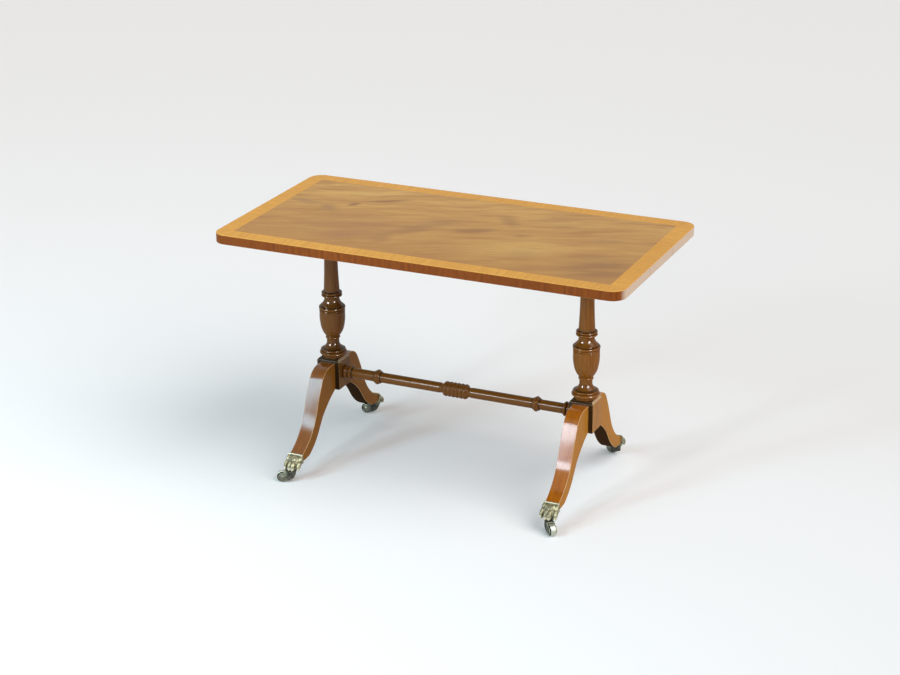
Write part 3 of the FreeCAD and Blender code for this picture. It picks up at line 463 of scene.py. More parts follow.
def on_outline(edge, level):
    """Whether the edge lies at this level on the outside of the top."""
    middle = (edge.verts[0].co + edge.verts[1].co) / 2
    beyond = [abs(middle.x) - (TOP_REACH.x - CORNER), abs(middle.y) - (TOP_REACH.y - CORNER)]
    if min(beyond) > 0:
        return at_level(edge, level) and math.hypot(*beyond) > CORNER * 0.99
    return at_level(edge, level) and max(beyond) > CORNER - LEVEL_SLACK * 10


def grain_group():
    """Wood grain: broad streaks, fine fibres and open pores, all drawn out along the grain."""
    group = bpy.data.node_groups.new("wood grain", "ShaderNodeTree")
    group.interface.new_socket("Place", in_out="INPUT", socket_type="NodeSocketVector")
    for name, value in (("Streak", 0.008), ("Stretch", 14.0), ("Wander", 0.004), ("Wander Scale", 14.0)):
        socket = group.interface.new_socket(name, in_out="INPUT", socket_type="NodeSocketFloat")
        socket.default_value = value
    for name in ("Streaks", "Fibres", "Pores"):
        group.interface.new_socket(name, in_out="OUTPUT", socket_type="NodeSocketFloat")
    given = add(group, "NodeGroupInput").outputs
    place = moved_by_noise(group, given["Place"], given["Wander Scale"], given["Wander"], Detail=2.0)
    shorter = calculated(group, "DIVIDE", 1.0, given["Stretch"])
    factors = add(group, "ShaderNodeCombineXYZ", {0: shorter, 1: 1.0, 2: 1.0}).outputs[0]
    drawn = stretched(group, place, factors)
    streak_scale = calculated(group, "DIVIDE", 1.0, given["Streak"])
    streak = {"Vector": drawn, "Scale": streak_scale, "Detail": 5.0, "Roughness": 0.6}
    fibre = {"Vector": drawn, "Scale": FIBRE_SCALE, "Detail": 3.0, "Roughness": 0.7}
    pore = {"Vector": drawn, "Scale": PORE_SCALE, "Detail": 1.0}
    streaks, fibres, pores = [
        add(group, "ShaderNodeTexNoise", settings).outputs[0] for settings in (streak, fibre, pore)
    ]
    open_pores = steps_between(group, pores, 0.60, 0.72)
    result = add(group, "NodeGroupOutput")
    for name, socket in (("Streaks", streaks), ("Fibres", fibres), ("Pores", open_pores)):
        group.links.new(socket, result.inputs[name])
    return group


GRAIN_GROUP = grain_group()


def laid_grain(tree):
    """The piece's own grain coordinates."""
    return add(tree, "ShaderNodeAttribute", attribute_name=GRAIN).outputs["Vector"]


def wood(name, light, dark, place_of, streak=0.008, stretch=14.0, wander=0.004, gloss=LACQUER, rough=0.42,
         leaf=0.0, marks=(), polish=None):
    """A wood with streaks from light to dark.

    leaf is the width of the leaves, where it is a veneer; marks are attributes that tint it, each with a
    strength and a tone; polish is an attribute that holds the coat's weight, where it differs.
    """
    material, tree, shader = new_material(name, gloss)
    place = place_of(tree)
    grain = add(tree, "ShaderNodeGroup", node_tree=GRAIN_GROUP)
    tree.links.new(place, grain.inputs["Place"])
    for socket, value in (("Streak", streak), ("Stretch", stretch), ("Wander", wander)):
        grain.inputs[socket].default_value = value
    streaks = steps_between(tree, grain.outputs["Streaks"], 0.30, 0.70)
    colour = mix(tree, streaks, light, dark)
    fibres = steps_between(tree, grain.outputs["Fibres"], 0.35, 0.70, 0.0, FIBRE_SHARE)
    colour = mix(tree, fibres, colour, dark)
    if leaf:
        across = add(tree, "ShaderNodeSeparateXYZ", {0: place}).outputs[1]
        number = calculated(tree, "FLOOR", calculated(tree, "DIVIDE", across, leaf))
        tone = add(tree, "ShaderNodeTexWhiteNoise", {"W": number}, noise_dimensions="1D").outputs[0]
        colour = mix(tree, steps_between(tree, tone, 0, 1, 0.0, LEAF_SHARE), colour, dark)
    pores = steps_between(tree, grain.outputs["Pores"], 0, 1, 0, PORE_SHARE)
    colour = mix(tree, pores, colour, [value * PORE_TONE_SHARE for value in dark[:3]] + [1])
    for attribute, strength, tone in marks:
        mark = add(tree, "ShaderNodeAttribute", attribute_name=attribute).outputs["Fac"]
        colour = mix(tree, calculated(tree, "MULTIPLY", mark, strength), colour, tone)
    tree.links.new(colour, shader.inputs["Base Color"])
    uneven = steps_between(tree, grain.outputs["Fibres"], 0.3, 0.7, rough - 0.05, rough + 0.08)
    tree.links.new(uneven, shader.inputs["Roughness"])
    relief(tree, grain.outputs["Fibres"], FIBRE_RELIEF, shader)
    if polish:
        coat = add(tree, "ShaderNodeAttribute", attribute_name=polish).outputs["Fac"]
        tree.links.new(coat, shader.inputs["Coat Weight"])
    return material


band_material = wood(
    "crossbanding", BAND_LIGHT, BAND_DARK, laid_grain, streak=0.0035, stretch=16, wander=0.003,
    leaf=BAND_LEAF, marks=(("arris", 0.2, ARRIS_WEAR_AND_HIGHLIGHT),),
)
for turn, side in enumerate(("front", "right", "back", "left")):
    first = 225 + 90 * turn
    last = first + 90
    outline = [toward(first, FIELD_REACH)]
    outline += arc(corner_centre(first), CORNER, first, first + 45, CORNER_STEPS)
    outline += arc(corner_centre(last), CORNER, last - 45, last, CORNER_STEPS)
    outline.append(toward(last, FIELD_REACH))
    solid = prism(outline, flat(field_low.z), field_high.z - field_low.z)
    ease(solid, ARRIS, lambda edge: on_outline(edge, field_high.z))
    along, across = ((0, 1, 0), (1, 0, 0)) if turn % 2 == 0 else ((1, 0, 0), (0, 1, 0))
    band = finished(f"band_{side}", solid, band_material, along, across, shift=turn * BAND_GRAIN_SHIFT)
    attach(band, "table")
    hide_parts(f"crossband_{side}")

# The edge leaves. Red cross-grained veneer glued round the edge of the top: two long leaves that turn the
# corners, and a short one on each end between their seams. The right end is painted pale, a painted
# highlight.
EDGE_LIGHT = (0.29, 0.072, 0.006, 1)
EDGE_DARK = (0.16, 0.036, 0.004, 1)
END_HIGHLIGHT_TONE = (0.62, 0.47, 0.35, 1)
SEAM_TONE = (0.06, 0.025, 0.01, 1)
EDGE_LACQUER = {"Coat Weight": 0.25, "Coat Roughness": 0.12, "Coat IOR": 1.5, "Specular IOR Level": 0.0}
EDGE_LEAF = 0.072
EDGE_GRAIN_SHIFT = 0.53
SEAM_FADE = 0.0006
FADE_REACH = 0.006
leaf_low, leaf_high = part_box("edge_band_right")
SEAM_REACH = leaf_high.y
LEAF = leaf_high.x - leaf_low.x
edge_material = wood(
    "edge leaves", EDGE_LIGHT, EDGE_DARK, laid_grain, streak=0.007, stretch=9, wander=0.006, leaf=EDGE_LEAF,
    gloss=EDGE_LACQUER,
    marks=(("bleached", 0.9, END_HIGHLIGHT_TONE), ("arris", 0.2, ARRIS_WEAR_AND_HIGHLIGHT), ("seam", 0.85, SEAM_TONE)),
)


def edge_path(first, inset):
    """Plan of one long leaf's face: from the seam on one end, round two corners, to the other seam."""
    turned = 1 if first == 225 else -1
    radius = CORNER - inset
    start, end = [Vector((-turned * side * (TOP_REACH.x - inset), -turned * SEAM_REACH)) for side in (1, -1)]
    fade = Vector((0, turned * SEAM_FADE))
    path = [start, start - fade]
    path += arc(corner_centre(first), radius, first - 45, first + 45, CORNER_STEPS * 2)
    path += arc(corner_centre(first + 90), radius, first + 45, first + 135, CORNER_STEPS * 2)
    return path + [end - fade, end]


def lay_mark(mesh, name, value_at):
    """Writes at each point of the mesh what value_at gives for its place, held between 0 and 1."""
    laid = mesh.attributes.new(name, "FLOAT", "POINT")
    for point, vertex in zip(laid.data, mesh.vertices):
        point.value = min(1.0, max(0.0, value_at(vertex.co)))


edge_outlines = {
    "front": edge_path(225, 0) + edge_path(225, LEAF)[::-1],
    "back": edge_path(45, 0) + edge_path(45, LEAF)[::-1],
}
seam_stops = (-SEAM_REACH, SEAM_FADE - SEAM_REACH, SEAM_REACH - SEAM_FADE, SEAM_REACH)
for side, sign in (("right", 1), ("left", -1)):
    near, far = sign * (TOP_REACH.x - LEAF), sign * TOP_REACH.x
    edge_outlines[side] = [Vector((near, stop)) for stop in seam_stops]
    edge_outlines[side] += [Vector((far, stop)) for stop in reversed(seam_stops)]
for number, (side, outline) in enumerate(edge_outlines.items()):
    solid = prism(outline, flat(edge_low.z), edge_high.z - edge_low.z)
    ease(solid, ARRIS, lambda edge: on_outline(edge, edge_low.z))
    across = (1, 0, 0) if number < 2 else (0, 1, 0)
    shift = number * EDGE_GRAIN_SHIFT
    leaf = finished(f"edge_{side}", solid, edge_material, (0, 0, 1), across, shift=shift)
    # the right end is painted pale towards its face, a painted highlight
    lay_mark(leaf.data, "bleached", lambda place: (place.x - TOP_REACH.x + FADE_REACH) / FADE_REACH)
    lay_mark(leaf.data, "seam", lambda place: float(abs(abs(place.y) - SEAM_REACH) < LEVEL_SLACK * 10))
    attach(leaf, "table")
    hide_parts(f"edge_band_{side}")

# The board and the veneer under it. Plain sanded boards glued up, seen only from below through the thin
# stained balancing veneer, which has dulled and taken up dirt.
BOARD_LIGHT = (0.50, 0.36, 0.20, 1)
BOARD_DARK = (0.36, 0.24, 0.12, 1)
STAIN_LIGHT = (0.25, 0.125, 0.055, 1)
STAIN_DARK = (0.13, 0.062, 0.028, 1)
DULL = {"Coat Weight": 0.15, "Coat Roughness": 0.4, "Specular IOR Level": 0.3}


def object_grain(tree):
    """Grain coordinates of a CAD node that stays: its place, with the grain along X."""
    return add(tree, "ShaderNodeTexCoord").outputs["Object"]


def paint_node(name, material):
    """Gives a CAD node that stays this material."""
    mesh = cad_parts[name].data
    mesh.materials.clear()
    mesh.materials.append(material)


board_material = wood(
    "sanded board", BOARD_LIGHT, BOARD_DARK, object_grain, streak=0.012, gloss=DULL, rough=0.6
)
stained = wood(
    "stained underside", STAIN_LIGHT, STAIN_DARK, object_grain, streak=0.010, gloss=DULL, rough=0.55
)
paint_node("top_core", board_material)
paint_node("backing_veneer", stained)

# The bearers. Stained battens under the top, thinned towards their ends, which take the columns'
# tenons. Four countersunk slotted steel screws hold each one to the board.
BEARER_EASE = 0.0012
BEARER_TIP_SHARE = 0.5
BEARER_SLOPE_SHARE = 0.7
bearer_wood = wood(
    "bearer wood", STAIN_LIGHT, STAIN_DARK, laid_grain, streak=0.006, stretch=20, gloss=DULL, rough=0.5
)
for side, shift in (("left", 0.3), ("right", 0.9)):
    low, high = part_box(f"bearer_{side}")
    tip = low.z + (high.z - low.z) * BEARER_TIP_SHARE
    slope = high.y * BEARER_SLOPE_SHARE
    outline = [Vector(corner) for corner in (
        (-slope, low.z), (slope, low.z), (high.y, tip), (high.y, high.z), (-high.y, high.z), (-high.y, tip),
    )]
    solid = prism(outline, lambda point, reach: Vector((low.x + reach, point.x, point.y)), high.x - low.x)
    ease(solid, BEARER_EASE, lambda edge: min(vertex.co.z for vertex in edge.verts) < high.z - LEVEL_SLACK)
    batten = finished(f"batten_{side}", solid, bearer_wood, (0, 1, 0), (1, 0, 0), shift=shift)
    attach(batten, "table")
    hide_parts(f"bearer_{side}")

# The screws, pins and dowels. Slotted countersunk steel screws hold the bearers to the board and each cap
# to its leg, steel pins carry the castors, and beech dowels the legs. Each screw was driven by hand, so its
# slot stands at any angle.
STEEL = (0.42, 0.41, 0.39, 1)
RUST = (0.16, 0.13, 0.11, 1)
STEEL_BLOTCH_SCALE = 900.0
STEEL_ROUGH = 0.4
STEEL_RELIEF = 0.00004
SLOT_WIDTH_SHARE = 0.26
SLOT_DEPTH_SHARE = 0.30
SAW_LENGTH_SHARE = 3
HEAD_PROUD = 0.00006
HEAD_FACE_SHARE = 0.97
HEAD_EDGE = 0.00015
SCREW_SIDES = 48
SCREW_SEED = 7
BEARER_SCREW_HEAD = 0.004
BEARER_SCREW_RADIUS = 0.002
BEARER_SCREW_PAIR = 0.036
CAP_SCREW_HEAD = 0.0028
CAP_SCREW_RADIUS = 0.0015
BEECH_LIGHT = (0.62, 0.47, 0.28, 1)
BEECH_DARK = (0.5, 0.35, 0.19, 1)


def old_steel():
    """Screw steel, blotched with old rust."""
    material, tree, shader = new_material("screw steel", {"Metallic": 1.0})
    place = add(tree, "ShaderNodeTexCoord").outputs["Object"]
    blotches = {"Vector": place, "Scale": STEEL_BLOTCH_SCALE, "Detail": 4.0}
    blotch = add(tree, "ShaderNodeTexNoise", blotches).outputs[0]
    rusty = steps_between(tree, blotch, 0.35, 0.75, 0, 0.6)
    tree.links.new(mix(tree, rusty, STEEL, RUST), shader.inputs["Base Color"])
    uneven = steps_between(tree, blotch, 0.3, 0.7, STEEL_ROUGH - 0.08, STEEL_ROUGH + 0.12)
    tree.links.new(uneven, shader.inputs["Roughness"])
    scratches = {"Vector": place, "Scale": STEEL_BLOTCH_SCALE * 9, "Detail": 2.0}
    relief(tree, add(tree, "ShaderNodeTexNoise", scratches).outputs[0], STEEL_RELIEF, shader)
    return material


def screw(name, head_radius, radius, length):
    """One slotted countersunk screw, its head's face at the origin and its point straight up."""
    profile = (
        (0, 0), (head_radius * HEAD_FACE_SHARE, 0), (head_radius, HEAD_EDGE), (radius, head_radius - radius),
        (radius, length - radius), (0, length),
    )
    solid = bmesh.new()
    rings = []
    for out, up in profile:
        around = [math.tau * k / SCREW_SIDES for k in range(SCREW_SIDES)] if out else [0]
        spots = [(out * math.cos(angle), out * math.sin(angle), up) for angle in around]
        rings.append([solid.verts.new(spot) for spot in spots])
    for first, second in zip(rings, rings[1:]):
        for k in range(SCREW_SIDES):
            corners = [first[k % len(first)], first[(k + 1) % len(first)]]
            corners += [second[(k + 1) % len(second)], second[k % len(second)]]
            solid.faces.new(list(dict.fromkeys(corners)))
    bmesh.ops.recalc_face_normals(solid, faces=solid.faces)
    mesh = bpy.data.meshes.new(name)
    solid.to_mesh(mesh)
    solid.free()
    cutter = bmesh.new()
    bmesh.ops.create_cube(cutter, size=1)
    size = Vector((SAW_LENGTH_SHARE, SLOT_WIDTH_SHARE, SLOT_DEPTH_SHARE * 2)) * head_radius
    bmesh.ops.scale(cutter, vec=size, verts=cutter.verts)
    saw = bpy.data.meshes.new(name + "_saw")
    cutter.to_mesh(saw)
    cutter.free()
    draft = show(name, mesh)
    slot = show(name + "_slot", saw)
    cut = draft.modifiers.new("slot", "BOOLEAN")
    cut.operation = "DIFFERENCE"
    cut.object = slot
    cut.solver = "EXACT"
    draft_mesh = as_seen(draft)
    draft.modifiers.clear()
    draft.data = draft_mesh
    bpy.data.objects.remove(slot)
    return draft


def as_seen(draft):
    """A plain mesh of the object as its modifiers leave it."""
    bpy.context.view_layer.update()
    return bpy.data.meshes.new_from_object(draft.evaluated_get(bpy.context.evaluated_depsgraph_get()))


def finish_tree(tree, shape, paint):
    """Ends a tree of geometry nodes: real faces, in this material."""
    real = add(tree, "GeometryNodeRealizeInstances", {"Geometry": shape})
    painted = add(tree, "GeometryNodeSetMaterial", {"Geometry": real.outputs[0], "Material": paint})
    result = add(tree, "NodeGroupOutput")
    tree.links.new(painted.outputs[0], result.inputs[0])


def screws_tree():
    """Geometry nodes that put a screw on each point, its slot left at any angle, as a hand drives it."""
    tree = bpy.data.node_groups.new("driven screws", "GeometryNodeTree")
    for name, kind in (
        ("Places", "NodeSocketGeometry"), ("Screw", "NodeSocketObject"), ("Seed", "NodeSocketInt"),
        ("Material", "NodeSocketMaterial"),
    ):
        tree.interface.new_socket(name, in_out="INPUT", socket_type=kind)
    tree.interface.new_socket("Screws", in_out="OUTPUT", socket_type="NodeSocketGeometry")
    given = add(tree, "NodeGroupInput").outputs
    one = add(tree, "GeometryNodeObjectInfo", {"Object": given["Screw"]}).outputs["Geometry"]
    turn = add(tree, "FunctionNodeRandomValue", {"Seed": given["Seed"]}, data_type="FLOAT")
    least, most = [socket for socket in turn.inputs if socket.enabled and socket.name in ("Min", "Max")]
    least.default_value = 0.0
    most.default_value = math.pi
    angle = next(socket for socket in turn.outputs if socket.enabled)
    about = add(tree, "ShaderNodeCombineXYZ", {2: angle}).outputs[0]
    driven = {"Points": given["Places"], "Instance": one, "Rotation": about}
    finish_tree(tree, add(tree, "GeometryNodeInstanceOnPoints", driven).outputs[0], given["Material"])
    return tree


def made_by(tree, name, start, inputs):
    """The mesh that the tree makes from the start mesh, as a plain object."""
    drawing = show(name + "_drawing", start)
    modifier = drawing.modifiers.new("made", "NODES")
    modifier.node_group = tree
    for socket in tree.interface.items_tree:
        if socket.in_out == "INPUT" and socket.name in inputs:
            modifier[socket.identifier] = inputs[socket.name]
    mesh = as_seen(drawing)
    mesh.name = name
    bpy.data.objects.remove(drawing)
    return show(name, mesh)


SCREWS = screws_tree()
steel_material = old_steel()


def drive(name, node, places, head_radius, radius):
    """Screws of one size at these places, their heads' faces level with the foot of the CAD node."""
    low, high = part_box(node)
    single = screw(name + "_one", head_radius, radius, high.z - low.z)
    points = bpy.data.meshes.new(name + "_places")
    points.from_pydata([(x, y, low.z - HEAD_PROUD) for x, y in places], [], [])
    driven = made_by(SCREWS, name, points, {"Screw": single, "Seed": SCREW_SEED, "Material": steel_material})
    bpy.data.objects.remove(single)
    driven.data.set_sharp_from_angle(angle=math.radians(30))
    return driven


SIDES = (-1, 1)
screws_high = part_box("bearer_screws")[1]
outer_row = screws_high.x - BEARER_SCREW_HEAD
back_row = screws_high.y - BEARER_SCREW_HEAD
rows = (outer_row, outer_row - BEARER_SCREW_PAIR)
bearer_places = [(side * row, end * back_row) for side in SIDES for row in rows for end in SIDES]
long_screws = drive("long_screws", "bearer_screws", bearer_places, BEARER_SCREW_HEAD, BEARER_SCREW_RADIUS)
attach(long_screws, "table")
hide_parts("bearer_screws")
screws_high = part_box("cap_screws")[1]
cap_reach = (screws_high.x - CAP_SCREW_HEAD, screws_high.y - CAP_SCREW_HEAD)
cap_places = [(side * cap_reach[0], end * cap_reach[1]) for side in SIDES for end in SIDES]
short_screws = drive("short_screws", "cap_screws", cap_places, CAP_SCREW_HEAD, CAP_SCREW_RADIUS)
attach(short_screws, "table")
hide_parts("cap_screws")
for name in [f"swivel_pin_{end}_{side}" for end in ("front", "back") for side in ("left", "right")]:
    paint_node(name, steel_material)
beech = wood("beech dowels", BEECH_LIGHT, BEECH_DARK, object_grain, gloss=DULL, rough=0.6)
paint_node("leg_dowels", beech)

# The columns. Each is one length of mahogany turned on a lathe between a tenon at either end: a ringed
# foot, a hollow skirt and a neck, a tall vase under a hollow shoulder, a double ring, and a shaft that
# thins to a flared collar. The hollows are painted dark, partly as old polish and dirt, partly as shade.
TURNED_LIGHT = (0.27, 0.093, 0.009, 1)
TURNED_DARK = (0.18, 0.058, 0.005, 1)
PAINTED_DARK_TONE = (0.075, 0.028, 0.005, 1)
GRIME_AND_SHADE = (0.022, 0.012, 0.005, 1)
FRENCH_POLISH = {"Coat Weight": 0.42, "Coat Roughness": 0.055, "Coat IOR": 1.5, "Specular IOR Level": 0.0}
# the slope of the sides of a hollow that is painted dark as dirt and shade, and the depth at which it is
# black
WIDE_GRIME_AND_SHADE = (0.55, 0.014)
NARROW_GRIME_AND_SHADE = (1.6, 0.0009)
# The column's line in millimetres, from its foot to the shaft: how far out, how far up, and by what share
# of its length the way to the next corner swells.
COLUMN_LINE = (
    # the foot's rings and the hollow skirt
    (22.0, 0.0), (23.2, 0.8, 0.10), (23.4, 4.8), (25.0, 5.4, 0.40), (25.0, 12.4), (23.6, 12.8),
    (23.6, 13.4), (24.6, 13.8, 0.30), (24.8, 16.4, -0.12), (12.8, 29.0), (12.8, 38.6),
    # the bead on the neck, the vase and the band round its mouth
    (13.3, 39.2, 0.38), (13.3, 43.6), (13.3, 44.4, 0.055), (22.7, 60.5, 0.037), (26.2, 91.0),
    (26.1, 99.0), (25.2, 99.4), (25.2, 99.8), (25.6, 100.2, 0.30), (25.6, 102.8), (24.8, 103.1),
    (24.8, 103.5), (26.0, 104.0, 0.22), (26.0, 109.0), (23.2, 109.4), (22.2, 109.8), (22.2, 110.3),
    # the hollow shoulder and the double ring under the shaft
    (23.0, 110.7, 0.30), (22.4, 112.4, -0.10), (15.3, 126.0), (15.3, 129.8), (19.6, 130.4, 0.36),
    (19.6, 134.8), (18.0, 135.2), (18.0, 136.0), (19.6, 136.5, 0.42), (19.6, 139.8), (16.4, 140.4),
    (16.2, 141.6),
)
SHAFT_START = 0.142
SHAFT_FOOT = 0.0162
SHAFT_HEAD = 0.0134
COLLAR_RADIUS = 0.018
COLLAR_HEIGHT = 0.021
SHAFT_HOLLOW_SHARE = -0.008
COLLAR_FILLET_SHARE = 0.22
COLLAR_CAVETTO_SHARE = 0.55
QUARTER_TURN_SHARE = 0.20711
# a tool's nose rounds what bends more than this, and leaves this much of each side
SHARP_BEND = 18
NOSE_ROOM_SHARE = 0.42
NOSE_STEPS = 4
HOLD_SHARE = 0.4
TOOL_NOSE = 0.0004
LONGEST_RUN = 8
TURNED_STEPS = 96


def traced(corners, steps=10):
    """The points of a line of corners (across, up, share), where a share bends the way to the next one.

    The way stands out to its right by that share of its length.
    """
    points = []
    for i, corner in enumerate(corners):
        here = Vector(corner[:2])
        points.append(here)
        if len(corner) > 2 and i + 1 < len(corners):
            there, share = Vector(corners[i + 1][:2]), corner[2]
            chord = there - here
            sag = chord.length * share
            reach = (chord.length ** 2 / 4 + sag ** 2) / (2 * sag)
            outward = Vector((chord.y, -chord.x)).normalized()
            centre = (here + there) / 2 + outward * (sag - reach)
            swing = 4 * math.atan(2 * share)
            turns = [Matrix.Rotation(swing * k / steps, 2) for k in range(1, steps)]
            points += [centre + turn @ (here - centre) for turn in turns]
    return points


def nosed(points, radius):
    """The points with each sharp corner rounded as a tool leaves it, and held by a point on each side."""
    result = []
    for i, here in enumerate(points):
        if i in (0, len(points) - 1):
            result.append(here)
            continue
        before, after = points[i - 1] - here, points[i + 1] - here
        bend = math.pi - before.angle(after) if before.length and after.length else 0
        if bend < math.radians(SHARP_BEND):
            result.append(here)
            continue
        cut = min(radius, before.length * NOSE_ROOM_SHARE, after.length * NOSE_ROOM_SHARE)
        start, end = here + before.normalized() * cut, here + after.normalized() * cut
        curve = []
        for step in range(NOSE_STEPS + 1):
            t = step / NOSE_STEPS
            curve.append(start * (1 - t) ** 2 + here * 2 * t * (1 - t) + end * t ** 2)
        if before.length > radius * 4:
            curve.insert(0, start + before.normalized() * cut * HOLD_SHARE)
        if after.length > radius * 4:
            curve.append(end + after.normalized() * cut * HOLD_SHARE)
        result += curve
    return result


def with_more_points(points, longest):
    """The same line with points set along its long runs, so that painted dirt and shade beside a ring end
    near it.
    """
    result = []
    for here, there in zip(points, points[1:]):
        parts = max(1, math.ceil((there - here).length / longest))
        result += [here + (there - here) * k / parts for k in range(parts)]
    return result + [points[-1]]


def turning_tree():
    """Geometry nodes that spin a profile, drawn as a line of points in the XZ plane, about the Z axis."""
    tree = bpy.data.node_groups.new("turning", "GeometryNodeTree")
    tree.interface.new_socket("Profile", in_out="INPUT", socket_type="NodeSocketGeometry")
    steps = tree.interface.new_socket("Steps", in_out="INPUT", socket_type="NodeSocketInt")
    steps.default_value = TURNED_STEPS
    tree.interface.new_socket("Material", in_out="INPUT", socket_type="NodeSocketMaterial")
    tree.interface.new_socket("Turned", in_out="OUTPUT", socket_type="NodeSocketGeometry")
    given = add(tree, "NodeGroupInput").outputs
    domain = add(tree, "GeometryNodeAttributeDomainSize", {0: given["Profile"]}, component="MESH")
    count = domain.outputs["Point Count"]
    columns = calculated(tree, "ADD", given["Steps"], 1.0)
    grid = add(tree, "GeometryNodeMeshGrid", {"Vertices X": columns, "Vertices Y": count})
    index = add(tree, "GeometryNodeInputIndex").outputs[0]
    row = calculated(tree, "MODULO", index, count)
    column = calculated(tree, "FLOOR", calculated(tree, "DIVIDE", index, count))
    position = add(tree, "GeometryNodeInputPosition").outputs[0]
    asked = {0: given["Profile"], "Index": row}
    sampled = add(tree, "GeometryNodeSampleIndex", asked, data_type="FLOAT_VECTOR", domain="POINT")
    value = next(socket for socket in sampled.inputs if socket.name == "Value" and socket.enabled)
    tree.links.new(position, value)
    drawn = next(socket for socket in sampled.outputs if socket.enabled)
    parts = add(tree, "ShaderNodeSeparateXYZ", {0: drawn}).outputs
    step = calculated(tree, "DIVIDE", math.tau, given["Steps"])
    angle = calculated(tree, "MULTIPLY", column, step)
    x, y = [
        calculated(tree, "MULTIPLY", calculated(tree, way, angle), parts[0]) for way in ("COSINE", "SINE")
    ]
    place = add(tree, "ShaderNodeCombineXYZ", {0: x, 1: y, 2: parts[2]}).outputs[0]
    spun = add(tree, "GeometryNodeSetPosition", {"Geometry": grid.outputs["Mesh"], "Position": place})
    closed = add(tree, "GeometryNodeMergeByDistance", {"Geometry": spun.outputs[0], "Distance": 1e-7})
    smooth = add(tree, "GeometryNodeSetShadeSmooth", {"Geometry": closed.outputs[0]})
    finish_tree(tree, smooth.outputs[0], given["Material"])
    return tree


TURNING = turning_tree()


def lay_recess(mesh, points, grime_and_shade):
    """Writes how far below its neighbours each point of a turned piece lies, between its rings and in its
    grooves.

    It is painted dark there, as dirt and as shade, thinly in a wide hollow and thickly in a narrow one: each
    kind has the slope of its sides and the depth at which it is black.
    """
    radii = numpy.array([point.x for point in points])
    heights = numpy.array([point.y for point in points])
    laid = mesh.attributes.new("recess", "FLOAT", "POINT")
    depths = {}
    for mark, vertex in zip(laid.data, mesh.vertices):
        radius, height = math.hypot(vertex.co.x, vertex.co.y), vertex.co.z
        key = (round(radius, 6), round(height, 6))
        if key not in depths:
            away = numpy.abs(heights - height)
            filled = [((radii - away * slope).max() - radius) / depth for slope, depth in grime_and_shade]
            depths[key] = min(1.0, max(filled))
        mark.value = depths[key]


def turned(name, profile, place, material, steps=TURNED_STEPS, shift=0.0, nose=TOOL_NOSE, deep=0.0,
           grime_and_shade=(NARROW_GRIME_AND_SHADE,)):
    """A turned piece: a profile of (radius, height, share) from its foot up, spun and put in place."""
    points = with_more_points(nosed(traced(profile), nose), nose * LONGEST_RUN)
    drawing = bpy.data.meshes.new(name)
    edges = [(i, i + 1) for i in range(len(points) - 1)]
    drawing.from_pydata([(point.x, 0, point.y) for point in points], edges, [])
    piece = made_by(TURNING, name, drawing, {"Steps": steps, "Material": material})
    lay_grain(piece.data, (0, 0, 1), (1, 0, 0), shift)
    lay_recess(piece.data, points, grime_and_shade)
    lay_mark(piece.data, "deep", lambda place: deep)
    piece.data.transform(place)
    return piece


turned_wood = wood(
    "turned mahogany", TURNED_LIGHT, TURNED_DARK, laid_grain, streak=0.004, stretch=20, wander=0.003,
    rough=0.38, gloss=FRENCH_POLISH, marks=(("deep", 1.0, PAINTED_DARK_TONE), ("recess", 0.90, GRIME_AND_SHADE)),
)
block_low, block_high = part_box("block_left")
COLUMN_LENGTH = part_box("bearer_left")[0].z - block_high.z
collar_foot = COLUMN_LENGTH - COLLAR_HEIGHT
column_profile = [(0, 0)]
column_profile += [(out / 1000, up / 1000, *swell) for out, up, *swell in COLUMN_LINE]
column_profile += [
    (SHAFT_FOOT, SHAFT_START, SHAFT_HOLLOW_SHARE),
    (SHAFT_HEAD, collar_foot, -QUARTER_TURN_SHARE),
    (COLLAR_RADIUS, collar_foot + COLLAR_HEIGHT * COLLAR_CAVETTO_SHARE, COLLAR_FILLET_SHARE),
    (COLLAR_RADIUS, COLUMN_LENGTH),
    (0, COLUMN_LENGTH),
]
# the left column is painted much darker than the right, as painted shade
for side, shift, deep in (("left", 0.0, 0.55), ("right", 1.3, 0.05)):
    low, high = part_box(f"column_{side}")
    place = Matrix.Translation(((low.x + high.x) / 2, 0, block_high.z))
    grime_and_shade = (WIDE_GRIME_AND_SHADE, NARROW_GRIME_AND_SHADE)
    pillar = turned(f"pillar_{side}", column_profile, place, turned_wood, shift=shift, deep=deep, grime_and_shade=grime_and_shade)
    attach(pillar, "table")
    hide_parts(f"column_{side}")
    shine_on(pillar, "pillar")

# The blocks. Square pedestals of the same wood, chamfered round the top and eased at the foot, bored
# for the column, the stretcher and the legs' dowels.
BLOCK_LIGHT = (0.42, 0.18, 0.030, 1)
BLOCK_DARK = (0.26, 0.10, 0.016, 1)
BLOCK_SHADE_TONE = (0.085, 0.036, 0.010, 1)
FACE_SHADE_TONE = (0.024, 0.013, 0.006, 1)
CHAMFER_HIGHLIGHT = (0.62, 0.50, 0.33, 1)
BLOCK_TOP_BEVEL = 0.004
BLOCK_FOOT_BEVEL = 0.0015
BLOCK_ARRIS = 0.0006
block_wood = wood(
    "block mahogany", BLOCK_LIGHT, BLOCK_DARK, laid_grain, streak=0.006, stretch=12, rough=0.38,
    marks=(
        ("deep", 0.75, BLOCK_SHADE_TONE), ("sheltered", 0.94, FACE_SHADE_TONE), ("chamfer", 0.45, CHAMFER_HIGHLIGHT),
        ("arris", 0.10, ARRIS_WEAR_AND_HIGHLIGHT),
    ),
)
